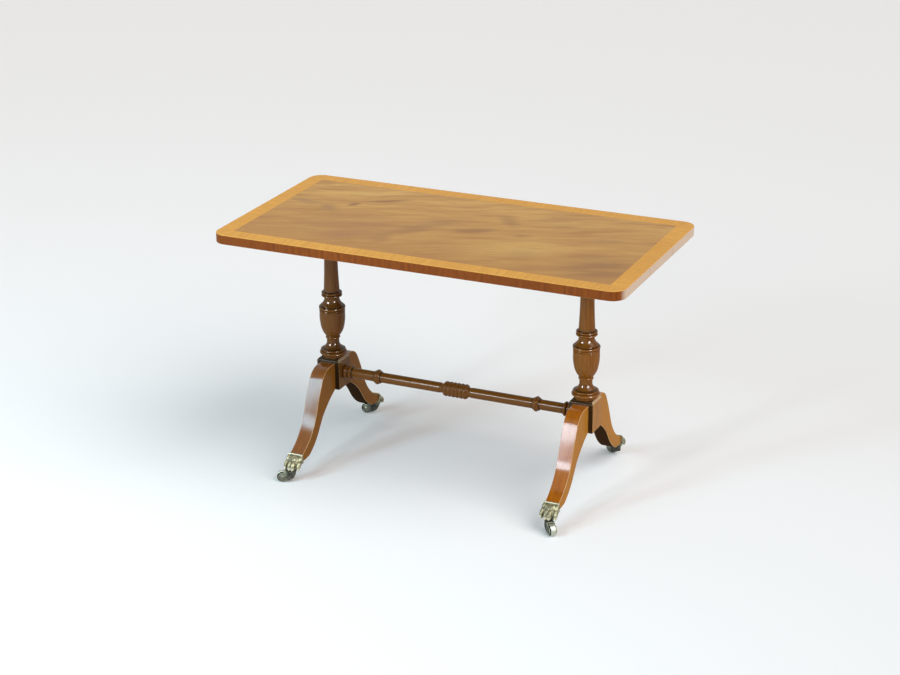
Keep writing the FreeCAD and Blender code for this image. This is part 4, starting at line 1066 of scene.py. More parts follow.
for side, shift, shade_share in (("left", 0.2, 1.0), ("right", 0.7, 0.0)):
    low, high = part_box(f"block_{side}")
    corners = ((low.x, low.y), (high.x, low.y), (high.x, high.y), (low.x, high.y))
    solid = prism([Vector(corner) for corner in corners], flat(low.z), high.z - low.z)
    ease(solid, BLOCK_TOP_BEVEL, lambda edge: at_level(edge, high.z), 1)
    ease(solid, BLOCK_FOOT_BEVEL, lambda edge: at_level(edge, low.z), 1)
    # the sides of the upper chamfer keep a painted highlight; every sharp edge is then eased and painted pale
    # as wear and highlight
    mark = solid.faces.layers.float["arris"]
    chamfer = solid.faces.layers.float.new("chamfer")
    for face in solid.faces:
        face[chamfer] = 1.0 if face[mark] and face.normal.z > 0.5 and abs(face.normal.x) > 0.5 else 0.0
        face[mark] = 0.0
    ease(solid, BLOCK_ARRIS, lambda edge: edge.calc_face_angle(0) > math.radians(20), 2)
    # the left block is painted darker all over as shade, and the faces turned front, back and up near black
    # as shade
    sheltered, deep = [solid.faces.layers.float.new(name) for name in ("sheltered", "deep")]
    for face in solid.faces:
        face[deep] = shade_share
        face[sheltered] = 1.0 if abs(face.normal.y) > 0.5 or abs(face.normal.z) > 0.9 else 0.0
    plinth = finished(f"plinth_{side}", solid, block_wood, (0, 0, 1), (1, 0, 0), shift=shift)
    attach(plinth, "table")
    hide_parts(f"block_{side}")
    shine_on(plinth, "plinth")

# The stretcher. A slender turned rail with reeds at its middle, a ring near each end and a collar
# against each block, where its tenon goes in.
RAIL_RADIUS = 0.0105
REED_PITCH = 0.0084
REED_VALLEY = 0.0132
REED_FLARE = 0.009
RING_REACH = 0.1745
RING_RADIUS = 0.0156
RING_WIDTH = 0.008
END_COLLAR_RADIUS = 0.0144
END_COLLAR_WIDTH = 0.019
REEDS = 3
REED_BULGE_SHARE = 0.25
RING_SHARES = ((-0.85, 0.80), (-0.5, 0.82, 0.33), (0.5, 0.82), (0.85, 0.80))
END_COLLAR_SHARES = (
    (0.00, 0.84, 0.40), (0.36, 0.84), (0.38, 0.76), (0.50, 0.76), (0.52, 0.88, 0.25), (0.94, 0.88),
    (0.96, 0.80), (1.00, 0.80),
)
RAIL_STEPS = 72
rail_low, rail_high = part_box("stretcher")
rail_height = (rail_low.z + rail_high.z) / 2
rail_end = -block_high.x
half_rail = [(REED_VALLEY, REED_PITCH * reed, REED_BULGE_SHARE) for reed in range(REEDS)]
half_rail += [
    (REED_VALLEY, REED_PITCH * REEDS, -QUARTER_TURN_SHARE),
    (RAIL_RADIUS, REED_PITCH * REEDS + REED_FLARE),
    (RAIL_RADIUS, RING_REACH + RING_WIDTH * RING_SHARES[0][0]),
]
half_rail += [(RING_RADIUS * step[1], RING_REACH + RING_WIDTH * step[0], *step[2:]) for step in RING_SHARES]
half_rail.append((RAIL_RADIUS, RING_REACH + RING_WIDTH * RING_SHARES[-1][0]))
half_rail.append((RAIL_RADIUS, rail_end - END_COLLAR_WIDTH))
half_rail += [
    (END_COLLAR_RADIUS * step[1], rail_end - END_COLLAR_WIDTH * (1 - step[0]), *step[2:])
    for step in END_COLLAR_SHARES
]
# the other half is the same one, taken backwards, so a bend belongs to the corner before it
bends = [step[2:] for step in half_rail]
mirrored = [(radius, -reach, *bends[i - 1]) for i, (radius, reach, *bend) in enumerate(half_rail) if i > 0]
rail_profile = [(0, -rail_end), *reversed(mirrored), *half_rail, (0, rail_end)]
rail_place = Matrix.Translation((0, 0, rail_height)) @ Matrix.Rotation(math.radians(90), 4, "Y")
# the rail is painted darker by half of the same dark tone
rail = turned("rail", rail_profile, rail_place, turned_wood, steps=RAIL_STEPS, shift=2.1, deep=0.5)
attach(rail, "table")
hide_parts("stretcher")
shine_on(rail, "rail")

# The legs. Four sabre legs sawn from board to one pattern, tapered in plan and cleaned up with a
# spokeshave: the knee rises over the block's face and the foot runs out into the brass cap.
LEG_LIGHT = (0.40, 0.120, 0.007, 1)
LEG_DARK = (0.26, 0.068, 0.004, 1)
CHEEK_TONE = (0.41, 0.20, 0.036, 1)
UNDER_SHADE = (0.022, 0.012, 0.006, 1)
LEG_SHADE_TONE = (0.13, 0.045, 0.008, 1)
OUTER_POLISH = 0.75
CHEEK_POLISH = 0.20
UNDER_POLISH = 0.03
LEG_LACQUER = {"Coat Roughness": 0.15, "Coat IOR": 1.5, "Specular IOR Level": 0.0}
LEG_TOP_WIDTH = 0.0315
LEG_FOOT_WIDTH = 0.028
LEG_REACH = 0.172
LEG_TOP_DROP = 0.007
FOOT_SEAT = 0.0377
FOOT_DEPTH = 0.0143
FOOT_HIDDEN = 0.006
FOOT_DROP = 0.002
LEG_ARRIS = 0.0009
LEG_UPPER_SHARES = ((0, 0), (0.13, 0, 0.13), (0.36, 0.13, 0.02), (0.565, 0.566, -0.095))
LEG_LOWER_SHARES = ((0, 0, 0.045), (0.40, 0.414), (0.51, 0.631, -0.06), (0.80, 0.98, -0.02))
LEG_STEPS = 14
LEG_GRAIN_WAY = Vector((0, 0.62, -0.78))
LEG_GRAIN_SHIFT = 0.21
LEFT_SHADE_SHARE = 0.60
leg_wood = wood(
    "leg mahogany", LEG_LIGHT, LEG_DARK, laid_grain, streak=0.007, stretch=16, wander=0.005, rough=0.4,
    gloss=LEG_LACQUER, polish="polish",
    marks=(
        ("cheek", 0.55, CHEEK_TONE), ("deep", 1.0, LEG_SHADE_TONE), ("under", 0.94, UNDER_SHADE),
        ("arris", 0.45, ARRIS_WEAR_AND_HIGHLIGHT),
    ),
)
CORNERS = [(f"{end}_{side}", -1 if side == "left" else 1, -1 if end == "front" else 1)
           for end in ("front", "back") for side in ("left", "right")]
pedestal_reach = -(block_low.x + block_high.x) / 2
block_half = (block_high.y - block_low.y) / 2


def leg_outline():
    """The leg's side, out from the block: round its foot, back along the upper line."""
    span = LEG_REACH - block_half
    seat_top = FOOT_SEAT + FOOT_DEPTH
    sides = []
    for start, stop, shares in (
        (block_low.z + BLOCK_FOOT_BEVEL, FOOT_SEAT, LEG_LOWER_SHARES),
        (block_high.z - LEG_TOP_DROP, seat_top, LEG_UPPER_SHARES),
    ):
        line = [
            (block_half + span * out, start - (start - stop) * down, *(-bulge for bulge in bulges))
            for out, down, *bulges in shares
        ]
        sides.append(traced([*line, (LEG_REACH, stop)], LEG_STEPS))
    hidden_end = LEG_REACH + FOOT_HIDDEN
    hidden = [Vector((hidden_end, FOOT_SEAT)), Vector((hidden_end, seat_top - FOOT_DROP))]
    return sides[0] + hidden + sides[1][::-1]


def leg_place(side, end):
    """Puts a point of the leg's side out from its pedestal along Y; the leg narrows towards its foot."""
    def placed(point, level):
        share = min(1.0, (point.x - block_half) / (LEG_REACH - block_half))
        half = (LEG_TOP_WIDTH * (1 - share) + LEG_FOOT_WIDTH * share) / 2
        return Vector((side * pedestal_reach + (half if level else -half) * end, end * point.x, point.y))

    return placed


def on_leg_corner(edge, middle):
    """Whether the edge runs along a corner of the leg, clear of the block and of the cap."""
    first, second = [vertex.co for vertex in edge.verts]
    nearest, furthest = sorted((abs(first.y), abs(second.y)))
    same_cheek = (first.x - middle) * (second.x - middle) > 0
    return same_cheek and nearest < LEG_REACH and furthest > block_half + LEVEL_SLACK


leg_side = leg_outline()
for corner, side, end in CORNERS:
    solid = prism(leg_side, leg_place(side, end), 1)
    ease(solid, LEG_ARRIS, lambda edge: on_leg_corner(edge, side * pedestal_reach))
    cheek, under, polish, deep = [
        solid.faces.layers.float.new(name) for name in ("cheek", "under", "polish", "deep")
    ]
    # the left legs are painted darker as shade, and the faces turned in and down near black as shade
    for face in solid.faces:
        face[deep] = LEFT_SHADE_SHARE if side < 0 else 0.0
        face[cheek] = 1.0 if abs(face.normal.x) > 0.9 else 0.0
        inward = face.normal.y * end < -0.2 or face.normal.z < -0.6
        face[under] = 1.0 if inward and not face[cheek] else 0.0
        face[polish] = CHEEK_POLISH if face[cheek] else UNDER_POLISH if face[under] else OUTER_POLISH
    along = (0, end * LEG_GRAIN_WAY.y, LEG_GRAIN_WAY.z)
    shift = LEG_GRAIN_SHIFT * (side + 2 * end + 4)
    sabre = finished(f"sabre_{corner}", solid, leg_wood, along, (1, 0, 0), shift=shift)
    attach(sabre, "table")
    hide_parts(f"leg_{corner}")
    shine_on(sabre, "sabre")

# The lion-paw caps. Each is a brass casting, hollow for the leg's foot: a plain rim round the mouth,
# locks of fur that fall from it, and four toes with claws. Old wax and dirt fill the hollows, and the
# rim's front edge and the claws are painted bright, partly as wear and partly as a painted highlight. A
# countersunk screw comes up through the heel.
CAP_BRIGHT = (0.40, 0.37, 0.23, 1)
CAP_DULL = (0.09, 0.080, 0.048, 1)
BRASS_BLACK = (0.010, 0.009, 0.006, 1)
BRASS_RUBBED_AND_HIGHLIT = (0.80, 0.75, 0.56, 1)
CAP_ROUGH = 0.36
CAP_BLOTCH_SCALE = 140.0
BRASS_RELIEF = 0.00006
CAST_DEPTH = 0.0007
DIRT_ROUNDS = 24
# how much the blotches shift the dirt, and where the metal starts to dull and to blacken
DIRT_SHIFT = 0.22
DULL_FROM, DULL_TO = 0.28, 0.72
BLACK_FROM, BLACK_TO = 0.74, 0.98
PIT_FINENESS = 9
# In millimetres from here on, with the middle of the mouth's foot as the origin and the toes out along +Y.
PAW_GRAIN = 0.40
PAW_SMOOTHING = 2
HEEL_LIFT = 10.3
HEEL_REACH = 7.0
HEEL_SLOPE = 4.5
RIM_HALF = 16.2
RIM_REACH = 4.3
RIM_TOP = 28.9
MOULD_SPARE = 0.3
# half width, from and to along, from and to up, softness of the edges
PAW_SLABS = (
    (RIM_HALF, -1.5, RIM_REACH, HEEL_LIFT, RIM_TOP + MOULD_SPARE, 0.5),
    (14.6, 0.5, 9.0, HEEL_LIFT, 25.0, 2.0),
    (12.5, 7.5, 16.5, -2.0, 9.0, 2.5),
)
# Each lobe: across, out, up, half width and half thickness, one spot after another along it. A lobe off
# the middle is also mirrored.
PAW_CORE = ((0, 3, 20, 14.2, 7.5), (0, 9, 17.0, 14.4, 7.6), (0, 15, 10.5, 12.4, 5.8), (0, 19, 5.0, 8.5, 4.0))
PAW_TOES = (
    (
        (3.2, 11, 16.5, 3.8, 3.6), (3.4, 17.5, 14.4, 4.5, 4.8), (3.5, 22.8, 9.6, 4.5, 4.8),
        (3.4, 24.6, 4.2, 3.9, 3.4),
    ),
    (
        (11.8, 7.5, 16, 3.2, 3.6), (13.6, 13, 14.0, 4.0, 4.9), (14.3, 17.6, 9.2, 3.9, 5.0),
        (14.1, 19.2, 4.2, 3.3, 3.7),
    ),
)
PAW_CLAWS = (
    ((3.7, 25.2, 6.2, 1.5, 1.5), (3.8, 27.1, 4.4, 1.3, 1.2), (3.8, 27.6, 1.2, 0.5, 0.5)),
    ((14.3, 20.2, 5.8, 1.4, 1.5), (14.6, 22.2, 4.0, 1.2, 1.2), (14.6, 22.8, 1.2, 0.5, 0.5)),
)
PAW_LOCKS = (
    (
        (0, 3.4, 25.2, 2.6, 1.8), (0, 8.5, 23.4, 3.2, 2.4), (0, 14.0, 20.4, 2.6, 2.0),
        (0.2, 18.0, 15.8, 0.6, 0.9),
    ),
    (
        (5.9, 3.4, 25.2, 2.7, 1.8), (6.3, 8.0, 23.2, 3.1, 2.4), (7.2, 12.0, 20.0, 2.6, 2.0),
        (8.4, 15.2, 14.6, 0.7, 0.9),
    ),
    (
        (11.8, 3.4, 25.0, 2.7, 1.8), (12.4, 7.2, 22.8, 3.0, 2.4), (13.6, 10.2, 19.4, 2.5, 2.1),
        (14.8, 12.6, 14.8, 0.7, 0.9),
    ),
    ((3.4, 9.0, 21.8, 2.4, 1.8), (3.6, 13.5, 18.6, 2.4, 1.9), (3.6, 17.2, 14.6, 0.7, 1.0)),
    ((10.2, 7.5, 20.6, 2.4, 1.8), (10.8, 11.2, 17.2, 2.3, 1.9), (11.2, 14.2, 12.6, 0.7, 1.0)),
    ((15.0, 2.8, 24.0, 1.3, 2.8), (15.9, 6.6, 20.6, 1.6, 2.9), (16.6, 10.2, 15.6, 0.8, 1.0)),
    ((14.9, 2.8, 18.5, 1.2, 2.6), (15.8, 6.4, 15.6, 1.5, 2.6), (16.2, 10.4, 10.4, 0.8, 1.0)),
)
LOBE_RINGS = 9
LOBE_SIDES = 14
# how far beyond the end of a lobe, in half thicknesses, and how thick there
LOBE_TIP = ((0.6, 0.75), (0.9, 0.35))
# strands are cut into the fur, from above the toes to below the rim and clear of the rim in front
FUR_DEPTH = 0.14
FUR_LINES = 34
FUR_FOOT, FUR_FOOT_FADE = 12.5, 3
FUR_TOP, FUR_TOP_FADE = 26.5, 1.0
FUR_GAP, FUR_GAP_FADE = 0.4, 1.5
FUR_CENTRE = 14
FUR_WAVE, FUR_WAVE_REACH = 0.5, 0.8
RIDGE_SHARE = -0.2
PAW_MIDDLE = (0.0, 6.0, 10.0)
# where the rim's front edge and the claws are painted bright, as wear and as a painted highlight, and by how
# much
RIM_EDGE, RIM_EDGE_FADE, RIM_RUB_AND_HIGHLIGHT = 1.6, 0.6, 0.85
RIM_FRONT, RIM_FRONT_FADE = 0.8, 0.6
CLAW_REACH, CLAW_REACH_FADE, CLAW_RUB_AND_HIGHLIGHT = 24.6, 1.4, 0.6
CLAW_TOP, CLAW_TOP_FADE = 9.0, 2.0


def along_spots(spots):
    """Points of a smooth curve through the spots, so many to each span."""
    spots = [spots[0] * 2 - spots[1], *spots, spots[-1] * 2 - spots[-2]]
    along = []
    for i in range(1, len(spots) - 2):
        before, here, there, after = spots[i - 1:i + 3]
        for k in range(LOBE_RINGS):
            t = k / LOBE_RINGS
            along.append(0.5 * (
                here * 2 + (there - before) * t + (before * 2 - here * 5 + there * 4 - after) * t ** 2
                + (here * 3 - before - there * 3 + after) * t ** 3
            ))
    return [*along, spots[-2]]


def close_round(solid, loops):
    """Joins the loops of vertices one to the next, and closes both ends."""
    for first, second in zip(loops, loops[1:]):
        for k in range(len(first)):
            j = (k + 1) % len(first)
            solid.faces.new((first[k], first[j], second[j], second[k]))
    solid.faces.new(loops[0][::-1])
    solid.faces.new(loops[-1])


def lobe(solid, samples):
    """Adds a closed lobe that runs smoothly through the samples."""
    along = along_spots([Vector(sample) for sample in samples])
    turns = [math.tau * k / LOBE_SIDES for k in range(LOBE_SIDES)]
    loops = []
    for i, spot in enumerate(along):
        centre = Vector(spot[:3])
        way = (Vector(along[min(i + 1, len(along) - 1)][:3]) - Vector(along[max(i - 1, 0)][:3])).normalized()
        across = (Vector((1, 0, 0)) - way * way.x).normalized()
        up = way.cross(across)
        ends = [(0, 1.0)]
        if i == 0:
            ends = [*((-push, share) for push, share in reversed(LOBE_TIP)), (0, 1.0)]
        elif i == len(along) - 1:
            ends = [(0, 1.0), *LOBE_TIP]
        for push, share in ends:
            middle = centre + way * push * spot[4]
            loops.append([
                solid.verts.new(
                    middle + across * math.cos(turn) * spot[3] * share
                    + up * math.sin(turn) * spot[4] * share
                ) for turn in turns
            ])
    close_round(solid, loops)


def slab(solid, low, high, softness):
    """Adds a box between two corners, its edges rounded by the softness."""
    across, along, up = zip(low, high)
    spots = [Vector((x, y, z)) for x in across for y in along for z in up]
    verts = [solid.verts.new(spot) for spot in spots]
    faces = [(0, 1, 3, 2), (4, 6, 7, 5), (0, 4, 5, 1), (2, 3, 7, 6), (0, 2, 6, 4), (1, 5, 7, 3)]
    made = [solid.faces.new([verts[i] for i in face]) for face in faces]
    edges = list({edge for face in made for edge in face.edges})
    bmesh.ops.bevel(
        solid, geom=edges, offset=softness, segments=3, profile=0.5, affect="EDGES", clamp_overlap=False
    )


def cast(name, solid, grain_size):
    """The one skin of all the overlapping shapes in the solid, as a mould would give it."""
    bmesh.ops.recalc_face_normals(solid, faces=solid.faces)
    mesh = bpy.data.meshes.new(name)
    solid.to_mesh(mesh)
    solid.free()
    draft = show(name + "_draft", mesh)
    remesh = draft.modifiers.new("one skin", "REMESH")
    remesh.mode = "VOXEL"
    remesh.voxel_size = grain_size
    remesh.use_smooth_shade = True
    skin = as_seen(draft)
    bpy.data.objects.remove(draft)
    return skin


def smoothed(spots, edges, rounds):
    """The points, each drawn halfway to the middle of its neighbours, so many times over."""
    count = numpy.bincount(edges.ravel(), minlength=len(spots))[:, None]
    for _ in range(rounds):
        total = numpy.zeros_like(spots)
        numpy.add.at(total, edges[:, 0], spots[edges[:, 1]])
        numpy.add.at(total, edges[:, 1], spots[edges[:, 0]])
        spots = spots + (total / count - spots) / 2
    return spots


def read_spots(mesh):
    """The mesh's points and the pairs of them that its edges join."""
    spots = numpy.empty(len(mesh.vertices) * 3)
    mesh.vertices.foreach_get("co", spots)
    edges = numpy.empty(len(mesh.edges) * 2, dtype=numpy.int32)
    mesh.edges.foreach_get("vertices", edges)
    return spots.reshape(-1, 3), edges.reshape(-1, 2)


def write_mark(mesh, name, values):
    """Writes an array of values, one for each point, on the mesh."""
    laid = mesh.attributes.new(name, "FLOAT", "POINT")
    laid.data.foreach_set("value", values.astype(numpy.float32))


def mark_hollows(mesh, depth, darker=0.0):
    """Writes how far each point lies below its surroundings (above 0.5) or stands out, raised by darker."""
    spots, edges = read_spots(mesh)
    normals = numpy.empty(len(mesh.vertices) * 3)
    mesh.vertex_normals.foreach_get("vector", normals)
    lift = ((smoothed(spots, edges, DIRT_ROUNDS) - spots) * normals.reshape(-1, 3)).sum(axis=1)
    write_mark(mesh, "hollow", numpy.clip(0.5 + lift / depth * 0.5 + darker, 0, 1))


def rising(values, start, width):
    """0 up to the start, 1 from the width beyond it, and even in between; a negative width falls."""
    return numpy.clip((values - start) / width, 0, 1)


def paw_skin():
    """One paw: the mould's shapes in one skin, with strands cut into its fur."""
    solid = bmesh.new()
    lobe(solid, PAW_CORE)
    for half, back, front, foot, top, softness in PAW_SLABS:
        slab(solid, (-half, back, foot), (half, front, top), softness)
    for drawn in (*PAW_TOES, *PAW_CLAWS, *PAW_LOCKS):
        lobe(solid, drawn)
        if drawn[0][0]:
            lobe(solid, [(-x, *rest) for x, *rest in drawn])
    skin = cast("paw", solid, PAW_GRAIN)
    spots, edges = read_spots(skin)
    spots = smoothed(spots, edges, PAW_SMOOTHING)
    x, y, z = spots.T
    furred = rising(z, FUR_FOOT, FUR_FOOT_FADE) * rising(y, RIM_REACH + FUR_GAP, FUR_GAP_FADE)
    furred *= rising(z, FUR_TOP, -FUR_TOP_FADE)
    wave = numpy.sin(z * FUR_WAVE) * FUR_WAVE_REACH
    strand = numpy.sin(numpy.arctan2(x, y + FUR_CENTRE) * FUR_LINES + wave)
    outward = spots - numpy.array(PAW_MIDDLE)
    outward /= numpy.linalg.norm(outward, axis=1)[:, None]
    spots = spots - outward * (numpy.clip(strand, RIDGE_SHARE, 1) * furred * FUR_DEPTH)[:, None]
    # the foot is flat, the mouth is flat, and the heel is cut away over the castor's neck
    y = numpy.maximum(spots[:, 1], 0)
    under = rising(y, HEEL_REACH + HEEL_SLOPE, -HEEL_SLOPE) * HEEL_LIFT
    z = numpy.clip(numpy.maximum(spots[:, 2], under), 0, RIM_TOP)
    spots = numpy.stack((spots[:, 0], y, z), axis=1)
    skin.vertices.foreach_set("co", spots.ravel())
    skin.update()
    return skin


def mark_rubbed_and_highlit(mesh, spots):
    """Writes where the paw is painted bright, as wear from shoes and dusters and as a painted highlight: its
    rim's front edge and its claws.
    """
    x, y, z = spots.T
    rim = rising(z, RIM_TOP - RIM_EDGE, RIM_EDGE_FADE) * rising(y, RIM_FRONT, RIM_FRONT_FADE)
    claws = rising(numpy.hypot(x, y), CLAW_REACH, CLAW_REACH_FADE) * rising(z, CLAW_TOP, -CLAW_TOP_FADE)
    write_mark(mesh, "rubbed", numpy.maximum(rim * RIM_RUB_AND_HIGHLIGHT, claws * CLAW_RUB_AND_HIGHLIGHT))


def brass_dirt_and_shade_group():
    """Where old brass is dull or black, with dirt and with any painted shade that its hollow mark holds, and
    the pits of its casting.
    """
    group = bpy.data.node_groups.new("brass dirt", "ShaderNodeTree")
    group.interface.new_socket("Place", in_out="INPUT", socket_type="NodeSocketVector")
    for name in ("Hollow", "Scale"):
        group.interface.new_socket(name, in_out="INPUT", socket_type="NodeSocketFloat")
    for name in ("Dull", "Black", "Pits"):
        group.interface.new_socket(name, in_out="OUTPUT", socket_type="NodeSocketFloat")
    given = add(group, "NodeGroupInput").outputs
    blotches = {"Vector": given["Place"], "Scale": given["Scale"], "Detail": 4.0}
    blotch = add(group, "ShaderNodeTexNoise", blotches).outputs[0]
    shifted = steps_between(group, blotch, 0.3, 0.7, -DIRT_SHIFT, DIRT_SHIFT)
    uneven = calculated(group, "ADD", shifted, given["Hollow"])
    pit_scale = calculated(group, "MULTIPLY", given["Scale"], PIT_FINENESS)
    pits = {"Vector": given["Place"], "Scale": pit_scale, "Detail": 2.0}
    result = add(group, "NodeGroupOutput")
    for name, socket in (
        ("Dull", steps_between(group, uneven, DULL_FROM, DULL_TO)),
        ("Black", steps_between(group, uneven, BLACK_FROM, BLACK_TO)),
        ("Pits", add(group, "ShaderNodeTexNoise", pits).outputs[0]),
    ):
        group.links.new(socket, result.inputs[name])
    return group


BRASS_DIRT_AND_SHADE = brass_dirt_and_shade_group()


def worn_brass(name, bright, dull, rough, blotch_scale=CAP_BLOTCH_SCALE):
    """Cast brass: dull in the hollows, black in the deepest, and painted bright where marked, as wear from
    hands and feet and as a highlight.
    """
    material, tree, shader = new_material(name, {"Metallic": 1.0})
    place = add(tree, "ShaderNodeTexCoord").outputs["Object"]
    hollow = add(tree, "ShaderNodeAttribute", attribute_name="hollow").outputs["Fac"]
    asked = {"Place": place, "Hollow": hollow, "Scale": blotch_scale}
    dirt = add(tree, "ShaderNodeGroup", asked, node_tree=BRASS_DIRT_AND_SHADE).outputs
    colour = mix(tree, dirt["Dull"], bright, dull)
    colour = mix(tree, dirt["Black"], colour, BRASS_BLACK)
    worn_and_highlit = add(tree, "ShaderNodeAttribute", attribute_name="rubbed").outputs["Fac"]
    tree.links.new(mix(tree, worn_and_highlit, colour, BRASS_RUBBED_AND_HIGHLIT), shader.inputs["Base Color"])
    tree.links.new(steps_between(tree, dirt["Dull"], 0, 1, rough, rough + 0.35), shader.inputs["Roughness"])
    tree.links.new(steps_between(tree, dirt["Dull"], 0.4, 1, 1.0, 0.35), shader.inputs["Metallic"])
    relief(tree, dirt["Pits"], BRASS_RELIEF, shader)
    return material


def placed_copy(casting, place, material):
    """A copy of a casting's mesh, put in place and in this material."""
    mesh = casting.copy()
    mesh.transform(place)
    mesh.materials.clear()
    mesh.materials.append(material)
    return mesh


IN_MILLIMETRES = Matrix.Scale(0.001, 4)
cap_brass = worn_brass("cap brass", CAP_BRIGHT, CAP_DULL, CAP_ROUGH)
paw_mesh = paw_skin()
for corner, side, end in CORNERS:
    cap_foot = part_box("paw_cap_" + corner)[0].z
    mouth = Matrix.Translation((side * pedestal_reach, end * LEG_REACH, cap_foot))
    facing = Matrix.Rotation(0 if end > 0 else math.pi, 4, "Z")
    mesh = placed_copy(paw_mesh, mouth @ facing @ IN_MILLIMETRES, cap_brass)
    mark_hollows(mesh, CAST_DEPTH)
    mark_rubbed_and_highlit(mesh, read_spots(paw_mesh)[0])
    paw = show("paw_" + corner, mesh)
    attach(paw, "table")
    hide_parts("paw_cap_" + corner)
    shine_on(paw, "brass")

# The castors' forks. Each is cast brass, cranked back from the upright pin that it turns on, with a round
# cheek on either side of the wheel. The neck, under the paw, is painted darker as shade.
FORK_BRIGHT = (0.33, 0.33, 0.25, 1)
FORK_DULL = (0.050, 0.048, 0.032, 1)
FORK_ROUGH = 0.36
# In millimetres from here on, with the pin at the origin and the wheel trailing along +X.
TRAIL = 20.0
WHEEL_RADIUS = 12.0
FORK_TOP = 24.2
FORK_HALF = 7.7
FORK_WALL = 1.8
EYE_RADIUS = 8.5
WHEEL_ROOM = 13.1
NECK_RADIUS = 6.8
# the cheek's side, round from the neck's foot
FORK_LINE = (
    (-6.8, 17.7), (-3.4, 11.2, 0.1), (TRAIL, WHEEL_RADIUS - EYE_RADIUS, QUARTER_TURN_SHARE),
    (TRAIL + EYE_RADIUS, WHEEL_RADIUS, QUARTER_TURN_SHARE), (TRAIL, WHEEL_RADIUS + EYE_RADIUS),
    (13.4, FORK_TOP), (-6.8, FORK_TOP), (-6.8, 17.7),
)
# the first point of the neck's upper side lies beyond this one
NECK_START = (13, 20)
NECK_STEPS = 24
NECK_NARROWING, NECK_ROUNDNESS = 0.42, 2.2
BOSS_RADIUS = 5.4
BOSS_RISE = 0.35
BOSS_SEAT = 0.4
BOSS_SIDES = 32
FORK_GRAIN = 0.42
FORK_SMOOTHING = 3
NECK_REACH = 13.0
NECK_FADE = 5.0
NECK_SHADE = 0.25
CHEEK_DIRT = 0.06


def extruded(solid, line, near, far):
    """Adds a plate on a line of (along, up), from one level across to another, with closed sides."""
    rings = [[solid.verts.new((spot.x, level, spot.y)) for spot in line] for level in (near, far)]
    solid.faces.new(rings[0])
    solid.faces.new(rings[1][::-1])
    for i in range(len(line)):
        j = (i + 1) % len(line)
        solid.faces.new((rings[0][i], rings[1][i], rings[1][j], rings[0][j]))


def neck_line(line, hub):
    """The part of the cheek's side that lies clear of the wheel, closed round the wheel's room."""
    clear = [spot for spot in line if (spot - hub).length > WHEEL_ROOM and spot.x < hub.x]
    first = next(i for i, spot in enumerate(clear) if spot.x > NECK_START[0] and spot.y > NECK_START[1])
    clear = clear[first:] + clear[:first]
    top, bottom = clear[0] - hub, clear[-1] - hub
    start, stop = math.atan2(bottom.y, bottom.x) % math.tau, math.atan2(top.y, top.x) % math.tau
    sweep = [stop + (start - stop) * (1 - k / NECK_STEPS) for k in range(NECK_STEPS + 1)]
    return clear + [hub + Vector((math.cos(angle), math.sin(angle))) * WHEEL_ROOM for angle in sweep]


def fork_skin():
    """One fork: two cheeks with bosses and the neck between them, in one skin."""
    solid = bmesh.new()
    line = traced(FORK_LINE)[:-1]
    hub = Vector((TRAIL, WHEEL_RADIUS))
    turns = [math.tau * k / BOSS_SIDES for k in range(BOSS_SIDES)]
    boss = [hub + Vector((math.cos(turn), math.sin(turn))) * BOSS_RADIUS for turn in turns]
    for face in SIDES:
        outer, inner = face * FORK_HALF, face * (FORK_HALF - FORK_WALL)
        extruded(solid, line, inner, outer)
        extruded(solid, boss, inner + face * BOSS_SEAT, outer + face * BOSS_RISE)
    extruded(solid, neck_line(line, hub), -FORK_HALF, FORK_HALF)
    skin = cast("fork", solid, FORK_GRAIN)
    spots, edges = read_spots(skin)
    spots = smoothed(spots, edges, FORK_SMOOTHING)
    # the neck is rounded in plan as well, about the pin
    nose = numpy.clip(-spots[:, 0] / NECK_RADIUS, 0, 1)
    spots[:, 1] *= 1 - NECK_NARROWING * nose ** NECK_ROUNDNESS
    skin.vertices.foreach_set("co", spots.ravel())
    skin.update()
    return skin


def castor_place(corner):
    """Puts a castor under its paw, as it last rolled: the pin from its node, the trail towards its axle."""
    pin_low, pin_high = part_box("swivel_pin_" + corner)
    hub_low, hub_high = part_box("axle_" + corner)
    pin = (pin_low + pin_high) / 2
    hub = (hub_low + hub_high) / 2
    swing = Matrix.Rotation(math.atan2(hub.y - pin.y, hub.x - pin.x), 4, "Z")
    return Matrix.Translation((pin.x, pin.y, 0)) @ swing @ IN_MILLIMETRES


fork_brass = worn_brass("fork brass", FORK_BRIGHT, FORK_DULL, FORK_ROUGH)
fork_mesh = fork_skin()
fork_neck = rising(read_spots(fork_mesh)[0][:, 0], NECK_REACH, -NECK_FADE)
for corner, _, _ in CORNERS:
    mesh = placed_copy(fork_mesh, castor_place(corner), fork_brass)
    # the neck, under the paw, is painted darker as shade
    mark_hollows(mesh, CAST_DEPTH, CHEEK_DIRT + NECK_SHADE * fork_neck)
    yoke = show("yoke_" + corner, mesh)
    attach(yoke, "castor_" + corner)
    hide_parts("fork_" + corner)
    shine_on(yoke, "brass")

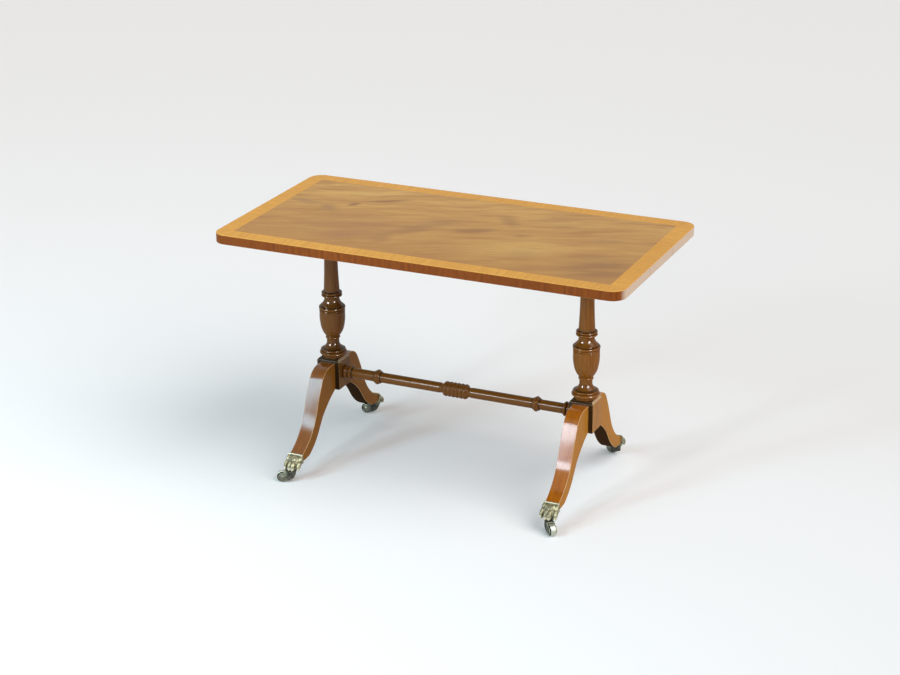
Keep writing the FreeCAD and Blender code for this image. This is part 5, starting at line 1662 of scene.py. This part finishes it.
# The wheels. Solid brass, turned with dished sides and a crowned tread, bright on the rim where they
# roll, and painted black in the dish, as dirt and as shade between the wheel and the fork's cheek. Each
# turns freely on its axle.
WHEEL_BRIGHT = (0.47, 0.49, 0.41, 1)
WHEEL_DIRT_AND_SHADE = (0.025, 0.023, 0.017, 1)
WHEEL_ROUGH = 0.42
WHEEL_BLOTCH_SCALE = 200.0
WHEEL_HALF = 5.5
WHEEL_FACE = ((4.6, WHEEL_HALF), (5.8, 4.3), (8.4, 4.3), (9.6, WHEEL_HALF))
TREAD_HALF = 3.1
TREAD_CROWN_SHARE = 0.02
WHEEL_NOSE = 0.35
WHEEL_STEPS = 64
RIM_INSIDE = 11.3
RIM_FADE = 0.8
AXLE_PLACE = Matrix.Translation((TRAIL, 0, WHEEL_RADIUS)) @ Matrix.Rotation(math.radians(-90), 4, "X")
wheel_profile = [(0, -WHEEL_HALF), *((radius, -along) for radius, along in WHEEL_FACE[:-1])]
wheel_profile += [
    (WHEEL_FACE[-1][0], -WHEEL_HALF, QUARTER_TURN_SHARE), (WHEEL_RADIUS, -TREAD_HALF, TREAD_CROWN_SHARE),
    (WHEEL_RADIUS, TREAD_HALF, QUARTER_TURN_SHARE), *reversed(WHEEL_FACE), (0, WHEEL_HALF),
]
wheel_brass = worn_brass("wheel brass", WHEEL_BRIGHT, WHEEL_DIRT_AND_SHADE, WHEEL_ROUGH, WHEEL_BLOTCH_SCALE)
for corner, _, _ in CORNERS:
    place = castor_place(corner) @ AXLE_PLACE
    back = place.inverted()
    roller = turned("roller_wheel_" + corner, wheel_profile, place, wheel_brass, WHEEL_STEPS, nose=WHEEL_NOSE)
    # the dish inside the rim is painted black, as dirt and as painted shade under the fork's cheek
    lay_mark(roller.data, "hollow", lambda spot: (RIM_INSIDE - (back @ spot).xy.length) / RIM_FADE)
    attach(roller, "roller_" + corner)
    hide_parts("wheel_" + corner)
    shine_on(roller, "brass")

# The axles and washers. A brass rivet through both cheeks carries each wheel, its ends spread to low
# domes, and a thin brass washer lies round the pin between the fork and the paw.
AXLE_RADIUS = 2.0
AXLE_HEAD = 3.8
RIVET_SHARES = ((1.00, 0.00), (0.94, 0.14), (0.55, 0.34), (0.00, 0.34))
WASHER_RADIUS = 5.6
WASHER_THICKNESS = 0.8
SMALL_STEPS = 40
RIVET_NOSE = 0.2
WASHER_NOSE = 0.25
RUB_DEPTH = 0.0012
head_profile = [(AXLE_HEAD * out, FORK_HALF + BOSS_RISE + AXLE_HEAD * rise) for out, rise in RIVET_SHARES]
axle_profile = [(radius, -along) for radius, along in reversed(head_profile)]
axle_profile += [(AXLE_RADIUS, -FORK_HALF), (AXLE_RADIUS, FORK_HALF), *head_profile]
washer_profile = [(0, 0), (WASHER_RADIUS, 0), (WASHER_RADIUS, WASHER_THICKNESS), (0, WASHER_THICKNESS)]
washer_lift = Matrix.Translation((0, 0, FORK_TOP))
for corner, _, _ in CORNERS:
    place = castor_place(corner) @ AXLE_PLACE
    rivet = turned("rivet_" + corner, axle_profile, place, fork_brass, SMALL_STEPS, nose=RIVET_NOSE)
    mark_hollows(rivet.data, RUB_DEPTH)
    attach(rivet, "castor_" + corner)
    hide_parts("axle_" + corner)
    shine_on(rivet, "brass")
    place = castor_place(corner) @ washer_lift
    washer = turned("washer_" + corner, washer_profile, place, fork_brass, SMALL_STEPS, nose=WASHER_NOSE)
    mark_hollows(washer.data, RUB_DEPTH)
    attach(washer, "castor_" + corner)
    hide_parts("swivel_washer_" + corner)
    shine_on(washer, "brass")
